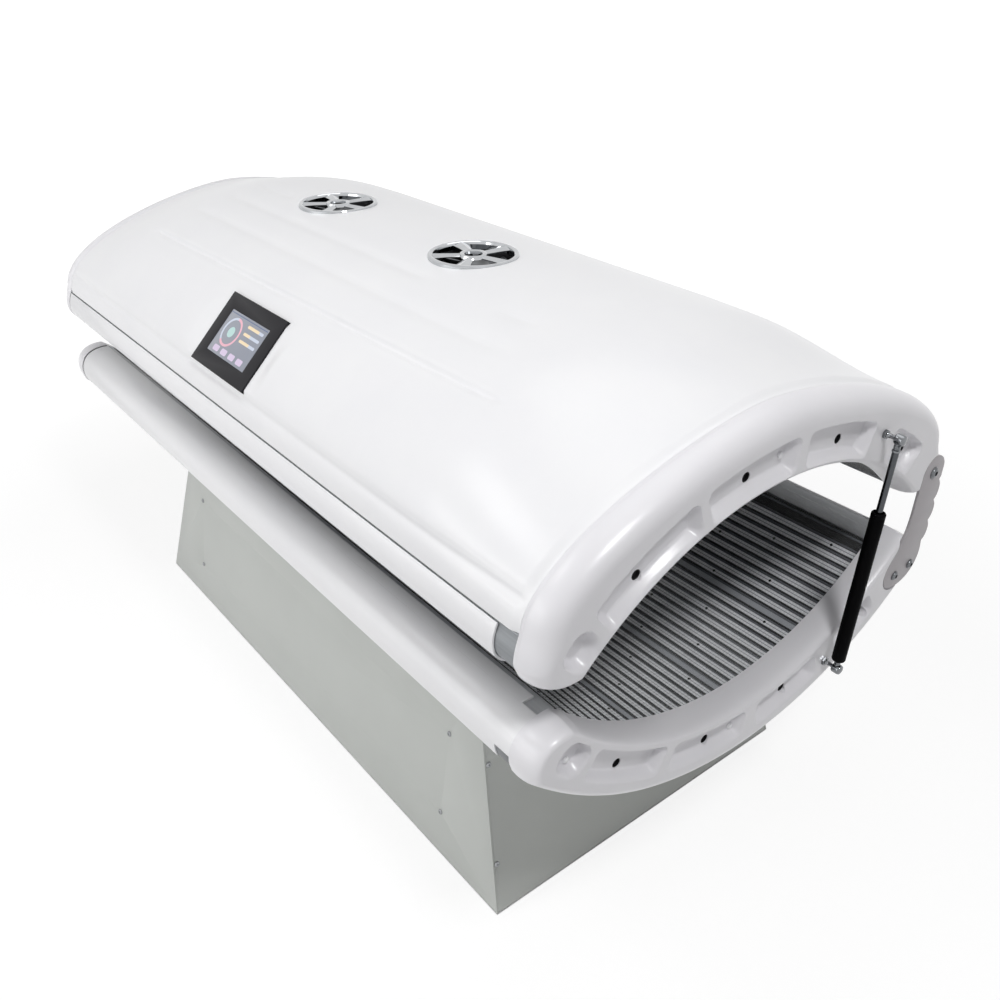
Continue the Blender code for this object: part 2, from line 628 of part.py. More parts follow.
def build_tub():
    belly = [(y, belly_floor(y)) for y in BELLY_YS]
    belly += [(y, belly_floor(y) + BELLY_T) for y in reversed(BELLY_YS)]
    add("tub_belly", prism(belly, -BAY_X, BAY_X), "paint_white")

    acrylic_r = ARC_R + ACRYLIC_SET
    near, far = ARC_END_DEG - 0.3, ARC_END_DEG - 0.6
    sheet = arc(acrylic_r, TUB_ARC_Z, -1.0, -near, near, 24)
    sheet += arc(acrylic_r + ACRYLIC_T, TUB_ARC_Z, -1.0, far, -far, 24)
    add("tub_acrylic", prism(sheet, -BAY_X, BAY_X), "acrylic")
    add("tub_led_deck", prism(led_loop(TUB_ARC_Z, -1.0), -BAY_X, BAY_X), "led")

    back_r = acrylic_r + ACRYLIC_T + LED_GAP + LED_STRIP_H + LED_PLATE_T
    for label, side in SIDES:
        ring = arc(back_r + GAP, TUB_ARC_Z, -1.0, -11 * LED_FACET_DEG, 11 * LED_FACET_DEG, 22)
        foot = list(reversed(belly_run(0.42, BELLY_T + GAP)))
        rib = add(f"tub_rib_{label}", prism(ring + foot, side * 0.55 - 0.004, side * 0.55 + 0.004), "steel")
        slots = []
        for y in (-0.20, -0.07, 0.07, 0.20):
            z = (belly_floor(y) + TUB_ARC_Z - math.sqrt(back_r ** 2 - y * y)) / 2
            slots.append(rod_x(y, z, 0.020, side * 0.55 - 0.02, side * 0.55 + 0.02, 6))
        cut(rib, f"tub_rib_{label}_holes", slots)

    wall = TUB_TOE[3][0] - 0.0115
    for label, sign, toe in (("front", -1.0, TUB_TOE), ("rear", 1.0, TUB_REAR_TOE)):
        edge = tub_toe(17, toe=toe)
        lip = toe[3][1]
        skin = offset(edge, 0.0054)
        under = offset(edge, 0.0100)
        core = skin + [(wall, lip - 0.007), (wall, 0.650), (wall + 0.005, 0.650), (wall + 0.005, lip - 0.012)]
        core += list(reversed(under[:-1]))
        add(f"tub_{label}_rail", prism(mirror_y(core, sign), -BAY_X, BAY_X), "aluminium")
        cover_line = edge[:15]
        cover = offset(cover_line, 0.001) + list(reversed(offset(cover_line, 0.005)))
        start, reach = STRIP_SEAM - BAY_X, BAY_X - STRIP_STOP
        cover_obj = add(f"tub_{label}_cover", prism(mirror_y(cover, sign), start, BAY_X), "gloss_white")
        span = sorted((sign * (TUB_TOE[0][0] - 0.045), sign * (TUB_TOE[0][0] + 0.035)))
        notch = box((reach, span[0], 0.600), (BAY_X + 0.01, span[1], NOTCH_TOP))
        cut(cover_obj, f"tub_{label}_cover_notch", [notch])
        strip_line = tub_toe(29, toe=toe)[24:]
        strip = offset(strip_line, 0.0005) + list(reversed(offset(strip_line, 0.0050)))
        add(f"tub_{label}_strip", prism(mirror_y(strip, sign), start, reach), "gloss_white")

    for label, side in SIDES:
        sections = [[(CAP_BACK_X + depth, y, z) for y, z in tub_cap_loop(inset)]
                    for depth, inset in TUB_FILLET]
        cap = add(f"tub_end_cap_{label}", flip(loft(sections), side), "gloss_white")
        pockets = [pocket(TUB_ARC_Z, -1.0, a * ARC_END_DEG, b * ARC_END_DEG, *POCKET_RADII)
                   for a, b in TUB_POCKETS]
        cut(cap, f"tub_end_cap_{label}_pockets", [flip(p, side) for p in pockets])
        hollow = cavity(TUB_ARC_Z, -1.0, -0.80 * ARC_END_DEG, 0.73 * ARC_END_DEG, *CAVITY_RADII)
        cut(cap, f"tub_end_cap_{label}_cavity", [flip(hollow, side)])
        holes = []
        for share, radius in TUB_HOLES:
            y, z = polar(TUB_ARC_Z, -1.0, share * ARC_END_DEG, ARC_R + radius)
            holes.append(flip(rod_x(y, z, HOLE_R, CAP_BACK_X + 0.01, CAP_FACE_X, 10), side))
        for y, z in PLATE_BOLTS:
            holes.append(flip(rod_x(y, z, 0.005 + RUN, CAP_FACE_X - 0.040, CAP_FACE_X + 0.01, 16), side))
        holes.append(flip(rod_x(*STUD_LOW, 0.005 + RUN, CAP_FACE_X - 0.018, CAP_FACE_X + 0.01, 16), side))
        cut(cap, f"tub_end_cap_{label}_holes", holes)
        seat = prism(plate_outline(0.0008), BRACKET_BACK_X - GAP, CAP_FACE_X + 0.01)
        cut(cap, f"tub_end_cap_{label}_seat", [flip(seat, side)])


def led_loop(centre_z, up):
    """Plate with lengthwise raised LED strips on the side that faces the sleeper."""
    plate_r = ARC_R + ACRYLIC_SET + ACRYLIC_T + LED_GAP + LED_STRIP_H
    pitch = 2.0 * LED_END_DEG / LED_STRIPS
    end = 12 * LED_FACET_DEG
    loop = [polar(centre_z, up, -end, plate_r)]
    for i in range(LED_STRIPS):
        a = -LED_END_DEG + pitch * (i + 0.5 - LED_FILL / 2)
        b = a + pitch * LED_FILL
        loop += [polar(centre_z, up, d, r) for d, r in
                 ((a, plate_r), (a, plate_r - LED_STRIP_H), (b, plate_r - LED_STRIP_H), (b, plate_r))]
    loop.append(polar(centre_z, up, end, plate_r))
    loop += arc(plate_r + LED_PLATE_T, centre_z, up, end, -end, 24)
    return loop


def build_canopy():
    shell = add("canopy_shell", canopy_shell_shape(), "gloss_white", CANOPY_PIVOT)
    cuts = []
    for label, x in FAN_XS:
        cuts.append(moved(lathe([(0.0, -0.06), (FAN_R + GAP, -0.06), (FAN_R + GAP, 0.06), (0.0, 0.06)], 24),
                          Matrix.Translation((x, FAN_Y, FAN_TOP_Z))))
    width, height = DISPLAY_SIZE
    place = display_place()

    def plate(size, low, high, grow=0.0):
        w, h = size[0] / 2 + grow, size[1] / 2 + grow
        return moved(box((-w, -h, low), (w, h, high)), place)

    cuts.append(plate(DISPLAY_SIZE, -0.05, 0.05, GAP))
    cut(shell, "canopy_shell_openings", cuts)

    bezel = add("display_bezel", plate(DISPLAY_SIZE, -0.010, 0.004), "black", CANOPY_PIVOT)
    cut(bezel, "display_bezel_recess", [plate(SCREEN_SIZE, 0.001, 0.02, GAP)])
    add("display_screen", plate(SCREEN_SIZE, 0.001 + GAP, 0.0035), "screen", CANOPY_PIVOT)
    case = add("control_box", plate((0.8 * width, 0.73 * height), -0.045, -0.010 - GAP), "black", CANOPY_PIVOT)
    vents = []
    for i in range(1, 9):
        shifted = Matrix.Translation((0.071 * width * (i - 4.5), 0.0, 0.0))
        vents.append(moved(plate((0.004, 0.5 * height), -0.05, -0.040), shifted))
    cut(case, "control_box_vents", vents)

    for label, sign in (("front", -1.0), ("rear", 1.0)):
        strip_line = canopy_toe(49)[18::5]
        top = [(-0.0103, -0.0055), (-0.0425, -0.0055), (-0.0425, -0.0005), (-0.0010, -0.0005), (-0.0010, -0.0035)]
        lip = [(-0.0350, -0.0905), (-0.0820, -0.0885), (-0.0820, -0.0830), (-0.0365, -0.0845)]
        top, lip = [[(CANOPY_HALF_W + y, CANOPY_EDGE_Z + z) for y, z in part] for part in (top, lip)]
        rail = top + list(reversed(offset(strip_line, 0.0056))) + lip + offset(strip_line, 0.0102)
        add(f"canopy_{label}_rail", prism(mirror_y(rail, sign), -BAY_X, BAY_X), "aluminium", CANOPY_PIVOT)
        strip = offset(strip_line, 0.0008) + list(reversed(offset(strip_line, 0.0050)))
        strip = prism(mirror_y(strip, sign), STRIP_SEAM - BAY_X, BAY_X - STRIP_STOP)
        add(f"canopy_{label}_strip", strip, "gloss_white", CANOPY_PIVOT)

    acrylic_r = ARC_R + ACRYLIC_SET
    near, far = ARC_END_DEG, ARC_END_DEG - 0.35
    sheet = arc(acrylic_r, CANOPY_ARC_Z, 1.0, -near, near, 24)
    sheet += arc(acrylic_r + ACRYLIC_T, CANOPY_ARC_Z, 1.0, far, -far, 24)
    add("canopy_acrylic", prism(sheet, -BAY_X, BAY_X), "acrylic", CANOPY_PIVOT)
    add("canopy_led_panel", prism(led_loop(CANOPY_ARC_Z, 1.0), -BAY_X, BAY_X), "led", CANOPY_PIVOT)

    back_r = acrylic_r + ACRYLIC_T + LED_GAP + LED_STRIP_H + LED_PLATE_T + GAP
    for label, side in SIDES:
        ring = arc(back_r, CANOPY_ARC_Z, 1.0, -11 * LED_FACET_DEG, 11 * LED_FACET_DEG, 22)
        ring += arc(back_r + 0.050, CANOPY_ARC_Z, 1.0, 0.80 * ARC_END_DEG, -0.80 * ARC_END_DEG, 10)
        rib = add(f"canopy_rib_{label}", prism(ring, side * 0.62 - 0.004, side * 0.62 + 0.004), "steel",
                  CANOPY_PIVOT)
        holes = []
        for share in (-0.6, -0.2, 0.2, 0.6):
            y, z = polar(CANOPY_ARC_Z, 1.0, share * ARC_END_DEG, back_r + 0.025)
            holes.append(rod_x(y, z, 0.014, side * 0.62 - 0.02, side * 0.62 + 0.02, 6))
        cut(rib, f"canopy_rib_{label}_holes", holes)

    for label, side in SIDES:
        sections = [[(CAP_BACK_X + depth, y, z) for y, z in canopy_cap_loop(inset)]
                    for depth, inset in CANOPY_FILLET]
        cap = add(f"canopy_end_cap_{label}", flip(loft(sections), side), "gloss_white", CANOPY_PIVOT)
        pockets = [pocket(CANOPY_ARC_Z, 1.0, a * ARC_END_DEG, b * ARC_END_DEG, *POCKET_RADII)
                   for a, b in CANOPY_POCKETS]
        cut(cap, f"canopy_end_cap_{label}_pockets", [flip(p, side) for p in pockets])
        hollow = cavity(CANOPY_ARC_Z, 1.0, -0.80 * ARC_END_DEG, 0.80 * ARC_END_DEG, *CAVITY_RADII)
        cut(cap, f"canopy_end_cap_{label}_cavity", [flip(hollow, side)])
        holes = []
        for share, radius in CANOPY_HOLES:
            y, z = polar(CANOPY_ARC_Z, 1.0, share * ARC_END_DEG, ARC_R + radius)
            holes.append(flip(rod_x(y, z, HOLE_R, CAP_BACK_X + 0.01, CAP_FACE_X, 10), side))
        holes.append(flip(rod_x(*STUD_HIGH, 0.005 + RUN, CAP_FACE_X - 0.018, CAP_FACE_X + 0.01, 16), side))
        holes.append(flip(rod_x(*PIVOT, PIVOT_R + RUN, CAP_FACE_X - 0.042, CAP_FACE_X + 0.01, 20), side))
        cut(cap, f"canopy_end_cap_{label}_holes", holes)
        # Open to the rear and below, so the canopy swings up clear of the fixed plate
        ring = PLATE_TOP_R + SWING
        seat = [(PIVOT[0] + ring * math.cos(a), PIVOT[1] + ring * math.sin(a))
                for a in (math.radians(180.0 - 15.0 * i) for i in range(13))]
        rear, low = PIVOT[0] + 0.088, -0.112
        seat += [(rear, PIVOT[1]), (rear, PIVOT[1] + low)]
        seat += [(PIVOT[0] + y - SWING, PIVOT[1] + z) for y, z in PLATE_FRONT if z > low]
        recess = prism(seat, BRACKET_BACK_X - SWING, CAP_FACE_X + 0.01)
        cut(cap, f"canopy_end_cap_{label}_seat", [flip(recess, side)])

    build_fans()


def build_fans():
    for label, x in FAN_XS:
        axis = Vector((x, FAN_Y, 0.0))
        low = FAN_TOP_Z - FAN_DEPTH
        at = Matrix.Translation((x, FAN_Y, 0.0))
        ring = lathe([(FAN_R - 0.011, FAN_TOP_Z - 0.006), (FAN_R - 0.008, FAN_TOP_Z), (FAN_R - 0.003, FAN_TOP_Z),
                      (FAN_R, FAN_TOP_Z - 0.003), (FAN_R, low), (FAN_R - 0.006, low)], 24)
        grille = add(f"fan_grille_{label}", moved(ring, at), "chrome", CANOPY_PIVOT)
        hub = lathe([(0.020, FAN_TOP_Z - 0.008), (0.020, FAN_TOP_Z - 0.001), (0.030, FAN_TOP_Z - 0.001),
                     (0.032, FAN_TOP_Z - 0.008)], 10)
        bars = [moved(hub, at)]
        for i in range(5):
            turn = Matrix.Rotation(math.tau * i / 5 + 0.3, 4, "Z")
            plan = [(0.028, -0.009), (FAN_R - 0.007, -0.019), (FAN_R - 0.007, 0.019), (0.028, 0.009)]
            spoke = loft([[(px, py, z) for px, py in plan] for z in (FAN_TOP_Z - 0.007, FAN_TOP_Z - 0.002)])
            bars.append(moved(spoke, at @ turn))
        fuse(grille, bars)

        top = low - GAP
        bottom = top - 0.044
        case = add(f"fan_housing_{label}", box((x - 0.098, FAN_Y - 0.098, bottom), (x + 0.098, FAN_Y + 0.098, top)),
                   "black", CANOPY_PIVOT)
        bore = lathe([(0.0, bottom - 0.01), (0.0915, bottom - 0.01), (0.0915, top + 0.01), (0.0, top + 0.01)], 16)
        cut(case, f"fan_housing_{label}_bore", [moved(bore, at)])
        mount = lathe([(0.0, bottom + 0.0005), (0.034, bottom + 0.0005), (0.034, bottom + 0.007), (0.0, bottom + 0.007)], 12)
        arms = [moved(mount, at)]
        for turn in (45.0, 135.0):
            bar = box((-0.096, -0.005, bottom + 0.001), (0.096, 0.005, bottom + 0.006))
            arms.append(moved(bar, at @ Matrix.Rotation(math.radians(turn), 4, "Z")))
        fuse(case, arms)

        blades = 7
        sections = []
        for step in range(4):
            z = lerp(bottom + 0.0075, top - 0.004, step / 3)
            loop = []
            for i in range(blades):
                start = math.tau * i / blades + 0.55 * step / 3
                for spread, radius in ((0.0, 0.036), (0.10, 0.088), (0.18, 0.088), (0.16, 0.036), (0.52, 0.036)):
                    a = start + spread
                    loop.append((x + radius * math.cos(a), FAN_Y + radius * math.sin(a), z))
            sections.append(loop)
        add(f"fan_rotor_{label}", loft(sections), "black", axis + Vector((0.0, 0.0, bottom + 0.02)))


def build_hinges():
    for label, side in SIDES:
        plate = prism(plate_outline(), BRACKET_BACK_X, BRACKET_FACE_X)
        bracket = add(f"hinge_bracket_{label}", flip(plate, side), "paint_white")
        holes = [rod_x(*PIVOT, PIVOT_R + RUN, CAP_FACE_X - 0.02, CAP_FACE_X + 0.01, 20)]
        holes += [rod_x(y, z, 0.005 + RUN, CAP_FACE_X - 0.02, CAP_FACE_X + 0.01, 16) for y, z in PLATE_BOLTS]
        cut(bracket, f"hinge_bracket_{label}_holes", [flip(h, side) for h in holes])
        bolts = [(f"pivot_bolt_{label}", PIVOT, PIVOT_R, 0.011, 0.036, 20)]
        bolts += [(f"bracket_bolt_{i}_{label}", at, 0.005, 0.009, 0.034, 10)
                  for i, at in enumerate(PLATE_BOLTS)]
        for name, (y, z), radius, head, length, count in bolts:
            seat = BRACKET_FACE_X + GAP
            spin = Matrix.Translation((seat, y, z)) @ Matrix.Rotation(math.pi / 2, 4, "Y")
            shape = lathe([(0.0, -length), (radius, -length), (radius, 0.0), (head, 0.0), (head, 0.003),
                           (head * 0.6, 0.0065), (0.0, 0.0065)], count)
            add(name, flip(moved(shape, spin), side), "chrome", (side * seat, y, z))


def build_gas_springs():
    run = Vector((STUD_HIGH[0] - STUD_LOW[0], STUD_HIGH[1] - STUD_LOW[1]))
    lean = math.atan2(run.x, run.y)
    length = run.length
    ball_x = CAP_FACE_X + STUD_OUT
    for label, side in SIDES:
        for name, (y, z), origin in (
            (f"ball_stud_low_{label}", STUD_LOW, (0.0, 0.0, 0.0)),
            (f"ball_stud_high_{label}", STUD_HIGH, CANOPY_PIVOT),
        ):
            profile = [(0.0, -0.017), (0.005, -0.017), (0.005, GAP), (0.0095, GAP), (0.0095, 0.006),
                       (0.005, 0.0075), (0.0042, STUD_OUT - BALL_R + 0.0008)]
            for k in range(1, 6):
                a = math.radians(-58.0 + 148.0 * k / 5)
                profile.append((BALL_R * math.cos(a) if k < 5 else 0.0, STUD_OUT + BALL_R * math.sin(a)))
            spin = Matrix.Translation((CAP_FACE_X, y, z)) @ Matrix.Rotation(math.pi / 2, 4, "Y")
            add(name, flip(moved(lathe(profile, 10), spin), side), "chrome", origin)

        at_low = Matrix.Translation((ball_x, *STUD_LOW)) @ Matrix.Rotation(-lean, 4, "X")
        at_high = Matrix.Translation((ball_x, *STUD_HIGH)) @ Matrix.Rotation(-lean, 4, "X")
        eye = moved(lathe([(0.0, -0.0065), (0.0125, -0.0065), (0.0125, 0.0125), (0.0, 0.0125)], 12),
                    Matrix.Rotation(math.pi / 2, 4, "Y"))
        ball_hole = moved(lathe([(0.0, -0.02), (BALL_R + BALL_CLEAR, -0.02), (BALL_R + BALL_CLEAR, BALL_R + 0.0012),
                                 (0.0, BALL_R + 0.0012)], 12), Matrix.Rotation(math.pi / 2, 4, "Y"))

        bore_r = GAS_R - 0.0025
        tube = lathe([(0.0, 0.020), (0.0105, 0.020), (GAS_R, 0.024), (GAS_R, GAS_LENGTH - 0.002),
                      (GAS_R - 0.002, GAS_LENGTH), (GLAND_R, GAS_LENGTH), (GLAND_R, GAS_LENGTH - 0.012),
                      (bore_r, GAS_LENGTH - 0.013), (bore_r, 0.045), (0.0, 0.045)], 14)
        low_at = (side * ball_x, *STUD_LOW)
        cylinder = add(f"gas_cylinder_{label}", flip(moved(tube, at_low), side), "black", low_at)
        neck = lathe([(0.0, 0.004), (0.0075, 0.004), (0.0075, 0.0215), (0.0, 0.0215)], 10)
        fuse(cylinder, [flip(moved(s, at_low), side) for s in (neck, eye)])
        cut(cylinder, f"gas_cylinder_{label}_ball", [flip(moved(ball_hole, at_low), side)])

        stem = lathe([(0.0, ROD_END - length), (ROD_R, ROD_END - length + 0.001), (ROD_R, -0.024), (0.0, -0.024)], 14)
        high_at = (side * ball_x, *STUD_HIGH)
        rod = add(f"gas_rod_{label}", flip(moved(stem, at_high), side), "chrome", high_at)
        neck = lathe([(0.0, -0.0245), (0.008, -0.0245), (0.008, -0.004), (0.0, -0.004)], 10)
        fuse(rod, [flip(moved(s, at_high), side) for s in (neck, eye)])
        cut(rod, f"gas_rod_{label}_ball", [flip(moved(ball_hole, at_high), side)])


build_base()
build_tub()
build_canopy()
build_hinges()
build_gas_springs()
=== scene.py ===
import math

import bpy
import numpy as np
from mathutils import Matrix, Vector


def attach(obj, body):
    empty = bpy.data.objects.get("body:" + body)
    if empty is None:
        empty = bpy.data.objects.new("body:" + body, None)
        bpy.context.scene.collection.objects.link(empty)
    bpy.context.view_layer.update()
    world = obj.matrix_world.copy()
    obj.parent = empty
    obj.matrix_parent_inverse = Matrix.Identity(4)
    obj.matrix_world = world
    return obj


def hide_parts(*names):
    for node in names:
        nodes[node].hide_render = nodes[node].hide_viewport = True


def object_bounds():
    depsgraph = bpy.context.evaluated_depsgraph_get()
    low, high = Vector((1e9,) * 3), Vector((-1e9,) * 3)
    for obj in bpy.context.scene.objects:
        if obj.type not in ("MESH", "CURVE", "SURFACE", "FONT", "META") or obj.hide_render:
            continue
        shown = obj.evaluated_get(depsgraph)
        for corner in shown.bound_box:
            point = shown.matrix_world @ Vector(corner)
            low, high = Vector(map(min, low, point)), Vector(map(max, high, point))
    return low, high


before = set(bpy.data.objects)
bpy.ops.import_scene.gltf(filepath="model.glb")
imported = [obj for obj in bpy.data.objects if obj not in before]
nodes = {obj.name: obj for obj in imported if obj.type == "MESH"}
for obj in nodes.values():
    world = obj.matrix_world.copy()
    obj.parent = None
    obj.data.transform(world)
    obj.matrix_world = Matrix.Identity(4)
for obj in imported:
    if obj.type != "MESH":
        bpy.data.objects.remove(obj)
cadBox = [list(corner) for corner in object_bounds()]
print("frame loaded", len(nodes), "nodes")


# small helpers

def pickNone():
    if bpy.context.mode != "OBJECT":
        bpy.ops.object.mode_set(mode="OBJECT")
    bpy.ops.object.select_all(action="DESELECT")


def held():
    return bpy.context.view_layer.objects.active


def alone(piece):
    pickNone()
    piece.select_set(True)
    bpy.context.view_layer.objects.active = piece
    return piece


def editAll(piece):
    alone(piece)
    bpy.ops.object.mode_set(mode="EDIT")
    bpy.ops.mesh.select_all(action="SELECT")


def closeUp(piece, gap=2e-5):  # weld doubles and turn all faces outwards
    editAll(piece)
    bpy.ops.mesh.remove_doubles(threshold=gap)
    bpy.ops.mesh.dissolve_degenerate(threshold=1e-6)
    bpy.ops.mesh.normals_make_consistent(inside=False)
    pickNone()
    return piece


def applied(piece, kind, **settings):
    alone(piece)
    step = piece.modifiers.new(kind.lower(), kind)
    for key, value in settings.items():
        setattr(step, key, value)
    bpy.ops.object.modifier_apply(modifier=step.name)
    return piece


def softEdges(piece, width, segments=2, angle=38):
    return applied(piece, "BEVEL", width=width, segments=segments, limit_method="ANGLE",
                   angle_limit=math.radians(angle), harden_normals=False)


def carved(piece, cutter):
    applied(piece, "BOOLEAN", object=cutter, operation="DIFFERENCE", solver="EXACT")
    bpy.data.objects.remove(cutter)
    return piece


def joined(pieces):
    alone(pieces[0])
    for piece in pieces:
        piece.select_set(True)
    if len(pieces) > 1:
        bpy.ops.object.join()
    return held()


def moved(piece, matrix):
    piece.data.transform(matrix)
    return piece


def cloned(piece):
    copy = piece.copy()
    copy.data = piece.data.copy()
    bpy.context.scene.collection.objects.link(copy)
    return copy


def facedOut(piece):
    editAll(piece)
    bpy.ops.mesh.normals_make_consistent(inside=False)
    pickNone()
    return piece


def unitBox(matrix):
    pickNone()
    bpy.ops.mesh.primitive_cube_add(size=1)
    return moved(held(), matrix)


def rod(steps, radius, length, middle, turn=0.0):  # upright, or turned about Y
    pickNone()
    bpy.ops.mesh.primitive_cylinder_add(vertices=steps, radius=radius, depth=length, location=middle,
                                        rotation=(0, turn, 0))
    return held()


def spotsOf(piece):
    spots = np.empty(len(piece.data.vertices) * 3, np.float32)
    piece.data.vertices.foreach_get("co", spots)
    return spots.reshape(-1, 3)


def reshaped(piece, spots):
    piece.data.vertices.foreach_set("co", np.asarray(spots, np.float32).ravel())
    piece.data.update()
    return piece


def settle(piece, name, body, finish, angle=30, stands=()):
    alone(piece)
    bpy.ops.object.transform_apply(location=True, rotation=True, scale=True)
    reshaped(piece, np.clip(spotsOf(piece), *cadBox))  # rounds stay within the faceted solids' box
    bpy.ops.object.shade_smooth_by_angle(angle=math.radians(angle))
    piece.name = name
    piece.data.name = name
    piece.data.materials.clear()
    piece.data.materials.append(finish)
    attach(piece, body)
    if stands:
        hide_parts(*stands)
    return piece


def settleBoth(piece, name, body, finish, angle=30, node=None):  # the piece, and its mirror image
    other = facedOut(moved(cloned(piece), Matrix.Scale(-1, 4, (1, 0, 0))))
    for label, part in (("right", piece), ("left", other)):
        stands = [f"{node}_{label}"] if node else ()
        settle(part, name + label.capitalize(), body.format(label), finish, angle, stands)


def dress(node, finish):  # a finish on a CAD node that is shown as it is
    nodes[node].data.materials.clear()
    nodes[node].data.materials.append(finish)


def camel(words):
    first, *rest = words.split("_")
    return first + "".join(word.capitalize() for word in rest)


def bentGrid(columns, rows, place):  # a grid primitive whose points are then set by row and column
    pickNone()
    bpy.ops.mesh.primitive_grid_add(x_subdivisions=columns, y_subdivisions=rows, size=2)
    piece = held()
    spots = spotsOf(piece)
    column = np.rint((spots[:, 0] + 1) / 2 * columns).astype(int)
    row = np.rint((spots[:, 1] + 1) / 2 * rows).astype(int)
    return reshaped(piece, place(column, row))


def runAlong(outline, x0, x1):  # a (y, z) outline pulled along the bed
    pickNone()
    bpy.ops.mesh.primitive_circle_add(vertices=len(outline), radius=1, fill_type="NGON")
    piece = held()
    for vertex, (y, z) in zip(piece.data.vertices, outline):
        vertex.co = (x0, y, z)
    editAll(piece)
    bpy.ops.mesh.extrude_region_move(TRANSFORM_OT_translate={"value": (x1 - x0, 0, 0)})
    return facedOut(piece)


def turned(profile, segments):  # (radius, height) points spun about Z
    radii = np.array([p[0] for p in profile])
    heights = np.array([p[1] for p in profile])

    def place(column, row):
        angle = column * (2 * np.pi / segments)
        return np.stack([radii[row] * np.cos(angle), radii[row] * np.sin(angle), heights[row]], 1)

    return closeUp(bentGrid(segments, len(profile) - 1, place))


def cadCopy(node):  # a welded copy of a CAD node, to be finished further
    piece = cloned(nodes[node])
    piece.parent = None
    for key in list(piece.keys()):
        del piece[key]
    editAll(piece)
    bpy.ops.mesh.remove_doubles(threshold=1e-5)
    bpy.ops.mesh.select_all(action="SELECT")
    bpy.ops.mesh.dissolve_limited(angle_limit=math.radians(0.6))
    pickNone()
    return piece


def settleCad(node, name, body, finish, soft=(), angle=30):  # the copy in place, its edges eased
    piece = cadCopy(node)
    settle(softEdges(piece, *soft) if soft else piece, name, body, finish, angle, [node])


def smoothStep(t):
    t = np.clip(t, 0, 1)
    return t * t * (3 - 2 * t)


def bezier(p0, p1, p2, p3, count):
    t = np.linspace(0, 1, count + 1)[:, None]
    a, b, c, d = [np.array(p, float) for p in (p0, p1, p2, p3)]
    return (1 - t) ** 3 * a + 3 * t * (1 - t) ** 2 * b + 3 * t * t * (1 - t) * c + t ** 3 * d


def leftOf(line, distance):  # an open line moved to its left
    line = np.asarray(line, float)
    run = np.gradient(line, axis=0)
    run /= np.linalg.norm(run, axis=1)[:, None]
    return line + distance * np.stack([-run[:, 1], run[:, 0]], 1)


def band(line, near, far, sign):  # the closed strip between two offsets of a line, in front or behind
    return np.concatenate([leftOf(line, near), leftOf(line, far)[::-1]]) * (sign, 1)


# finishes

def linear(hexColour):
    parts = [int(hexColour[i:i + 2], 16) / 255 for i in (1, 3, 5)]
    return [c / 12.92 if c <= 0.04045 else ((c + 0.055) / 1.055) ** 2.4 for c in parts] + [1.0]


def addNode(finish, kind, settings=None, links=None):
    node = finish.node_tree.nodes.new("ShaderNode" + kind)
    for key, value in (settings or {}).items():
        if isinstance(key, str) and hasattr(node, key):
            setattr(node, key, value)
        else:
            node.inputs[key].default_value = value
    for key, source in (links or {}).items():
        feed(finish, source, node.inputs[key])
    return node


def feed(finish, source, target):  # a node stands for its main output
    if hasattr(source, "outputs"):
        colour = source.bl_idname == "ShaderNodeMix" and source.data_type == "RGBA"
        source = source.outputs[2 if colour else 0]
    finish.node_tree.links.new(source, target)


def fill(finish, node, first, terms):  # numbers and colours are set, nodes are linked
    for index, term in enumerate(terms, first):
        if isinstance(term, (int, float)):
            node.inputs[index].default_value = term
        elif isinstance(term, str):
            node.inputs[index].default_value = linear(term)
        else:
            feed(finish, term, node.inputs[index])
    return node


def maths(finish, operation, *terms):
    return fill(finish, addNode(finish, "Math", {"operation": operation}), 0, terms)


def blend(finish, share, *colours):
    return fill(finish, addNode(finish, "Mix", {"data_type": "RGBA"}, {0: share}), 6, colours)


def remap(finish, source, low=0.0, high=1.0, start=0.0, end=1.0):
    limits = {"From Min": start, "From Max": end, "To Min": low, "To Max": high}
    return addNode(finish, "MapRange", limits, {0: source})


def objectSpot(finish):
    return addNode(finish, "TexCoord").outputs["Object"]


def noise(finish, sizeMm, detail, spot, roughness=0.5):
    return addNode(finish, "TexNoise", {"Scale": 1000 / sizeMm, "Detail": detail, "Roughness": roughness},
                   {"Vector": spot})


def newFinish(name, hexColour, sockets):
    finish = bpy.data.materials.new(name)
    finish.use_nodes = True
    shader = finish.node_tree.nodes["Principled BSDF"]
    shader.inputs["Base Color"].default_value = linear(hexColour)
    for key, value in sockets.items():
        shader.inputs[key].default_value = value
    return finish, shader


def speckled(name, hexColour, sockets, tints, cloudMm, gloss, grainMm, depthMm, bump, stretch=(1, 1, 1)):
    # two close colours, an uneven gloss and a surface texture
    finish, shader = newFinish(name, hexColour, sockets)
    spot = addNode(finish, "Mapping", {"Scale": stretch}, {"Vector": objectSpot(finish)})
    cloud = noise(finish, cloudMm, 3.0, spot, 0.55)
    feed(finish, blend(finish, cloud, *tints), shader.inputs["Base Color"])
    feed(finish, remap(finish, cloud, *gloss), shader.inputs["Roughness"])
    pebble = addNode(finish, "Bump", {"Strength": bump, "Distance": depthMm / 1000},
                     {"Height": noise(finish, grainMm, 2.0, spot)})
    feed(finish, pebble, shader.inputs["Normal"])
    return finish


# moulded ABS with a gloss cap layer: near white, soft-edged highlights and a faint flow ripple
glossWhite = speckled(
    "mouldedGlossWhite", "#EFEFF1", {"IOR": 1.46, "Coat Weight": 0.10, "Coat Roughness": 0.16},
    tints=("#ECECEF", "#F2F2F3"), cloudMm=160, gloss=(0.28, 0.35), grainMm=24, depthMm=0.1, bump=0.1)

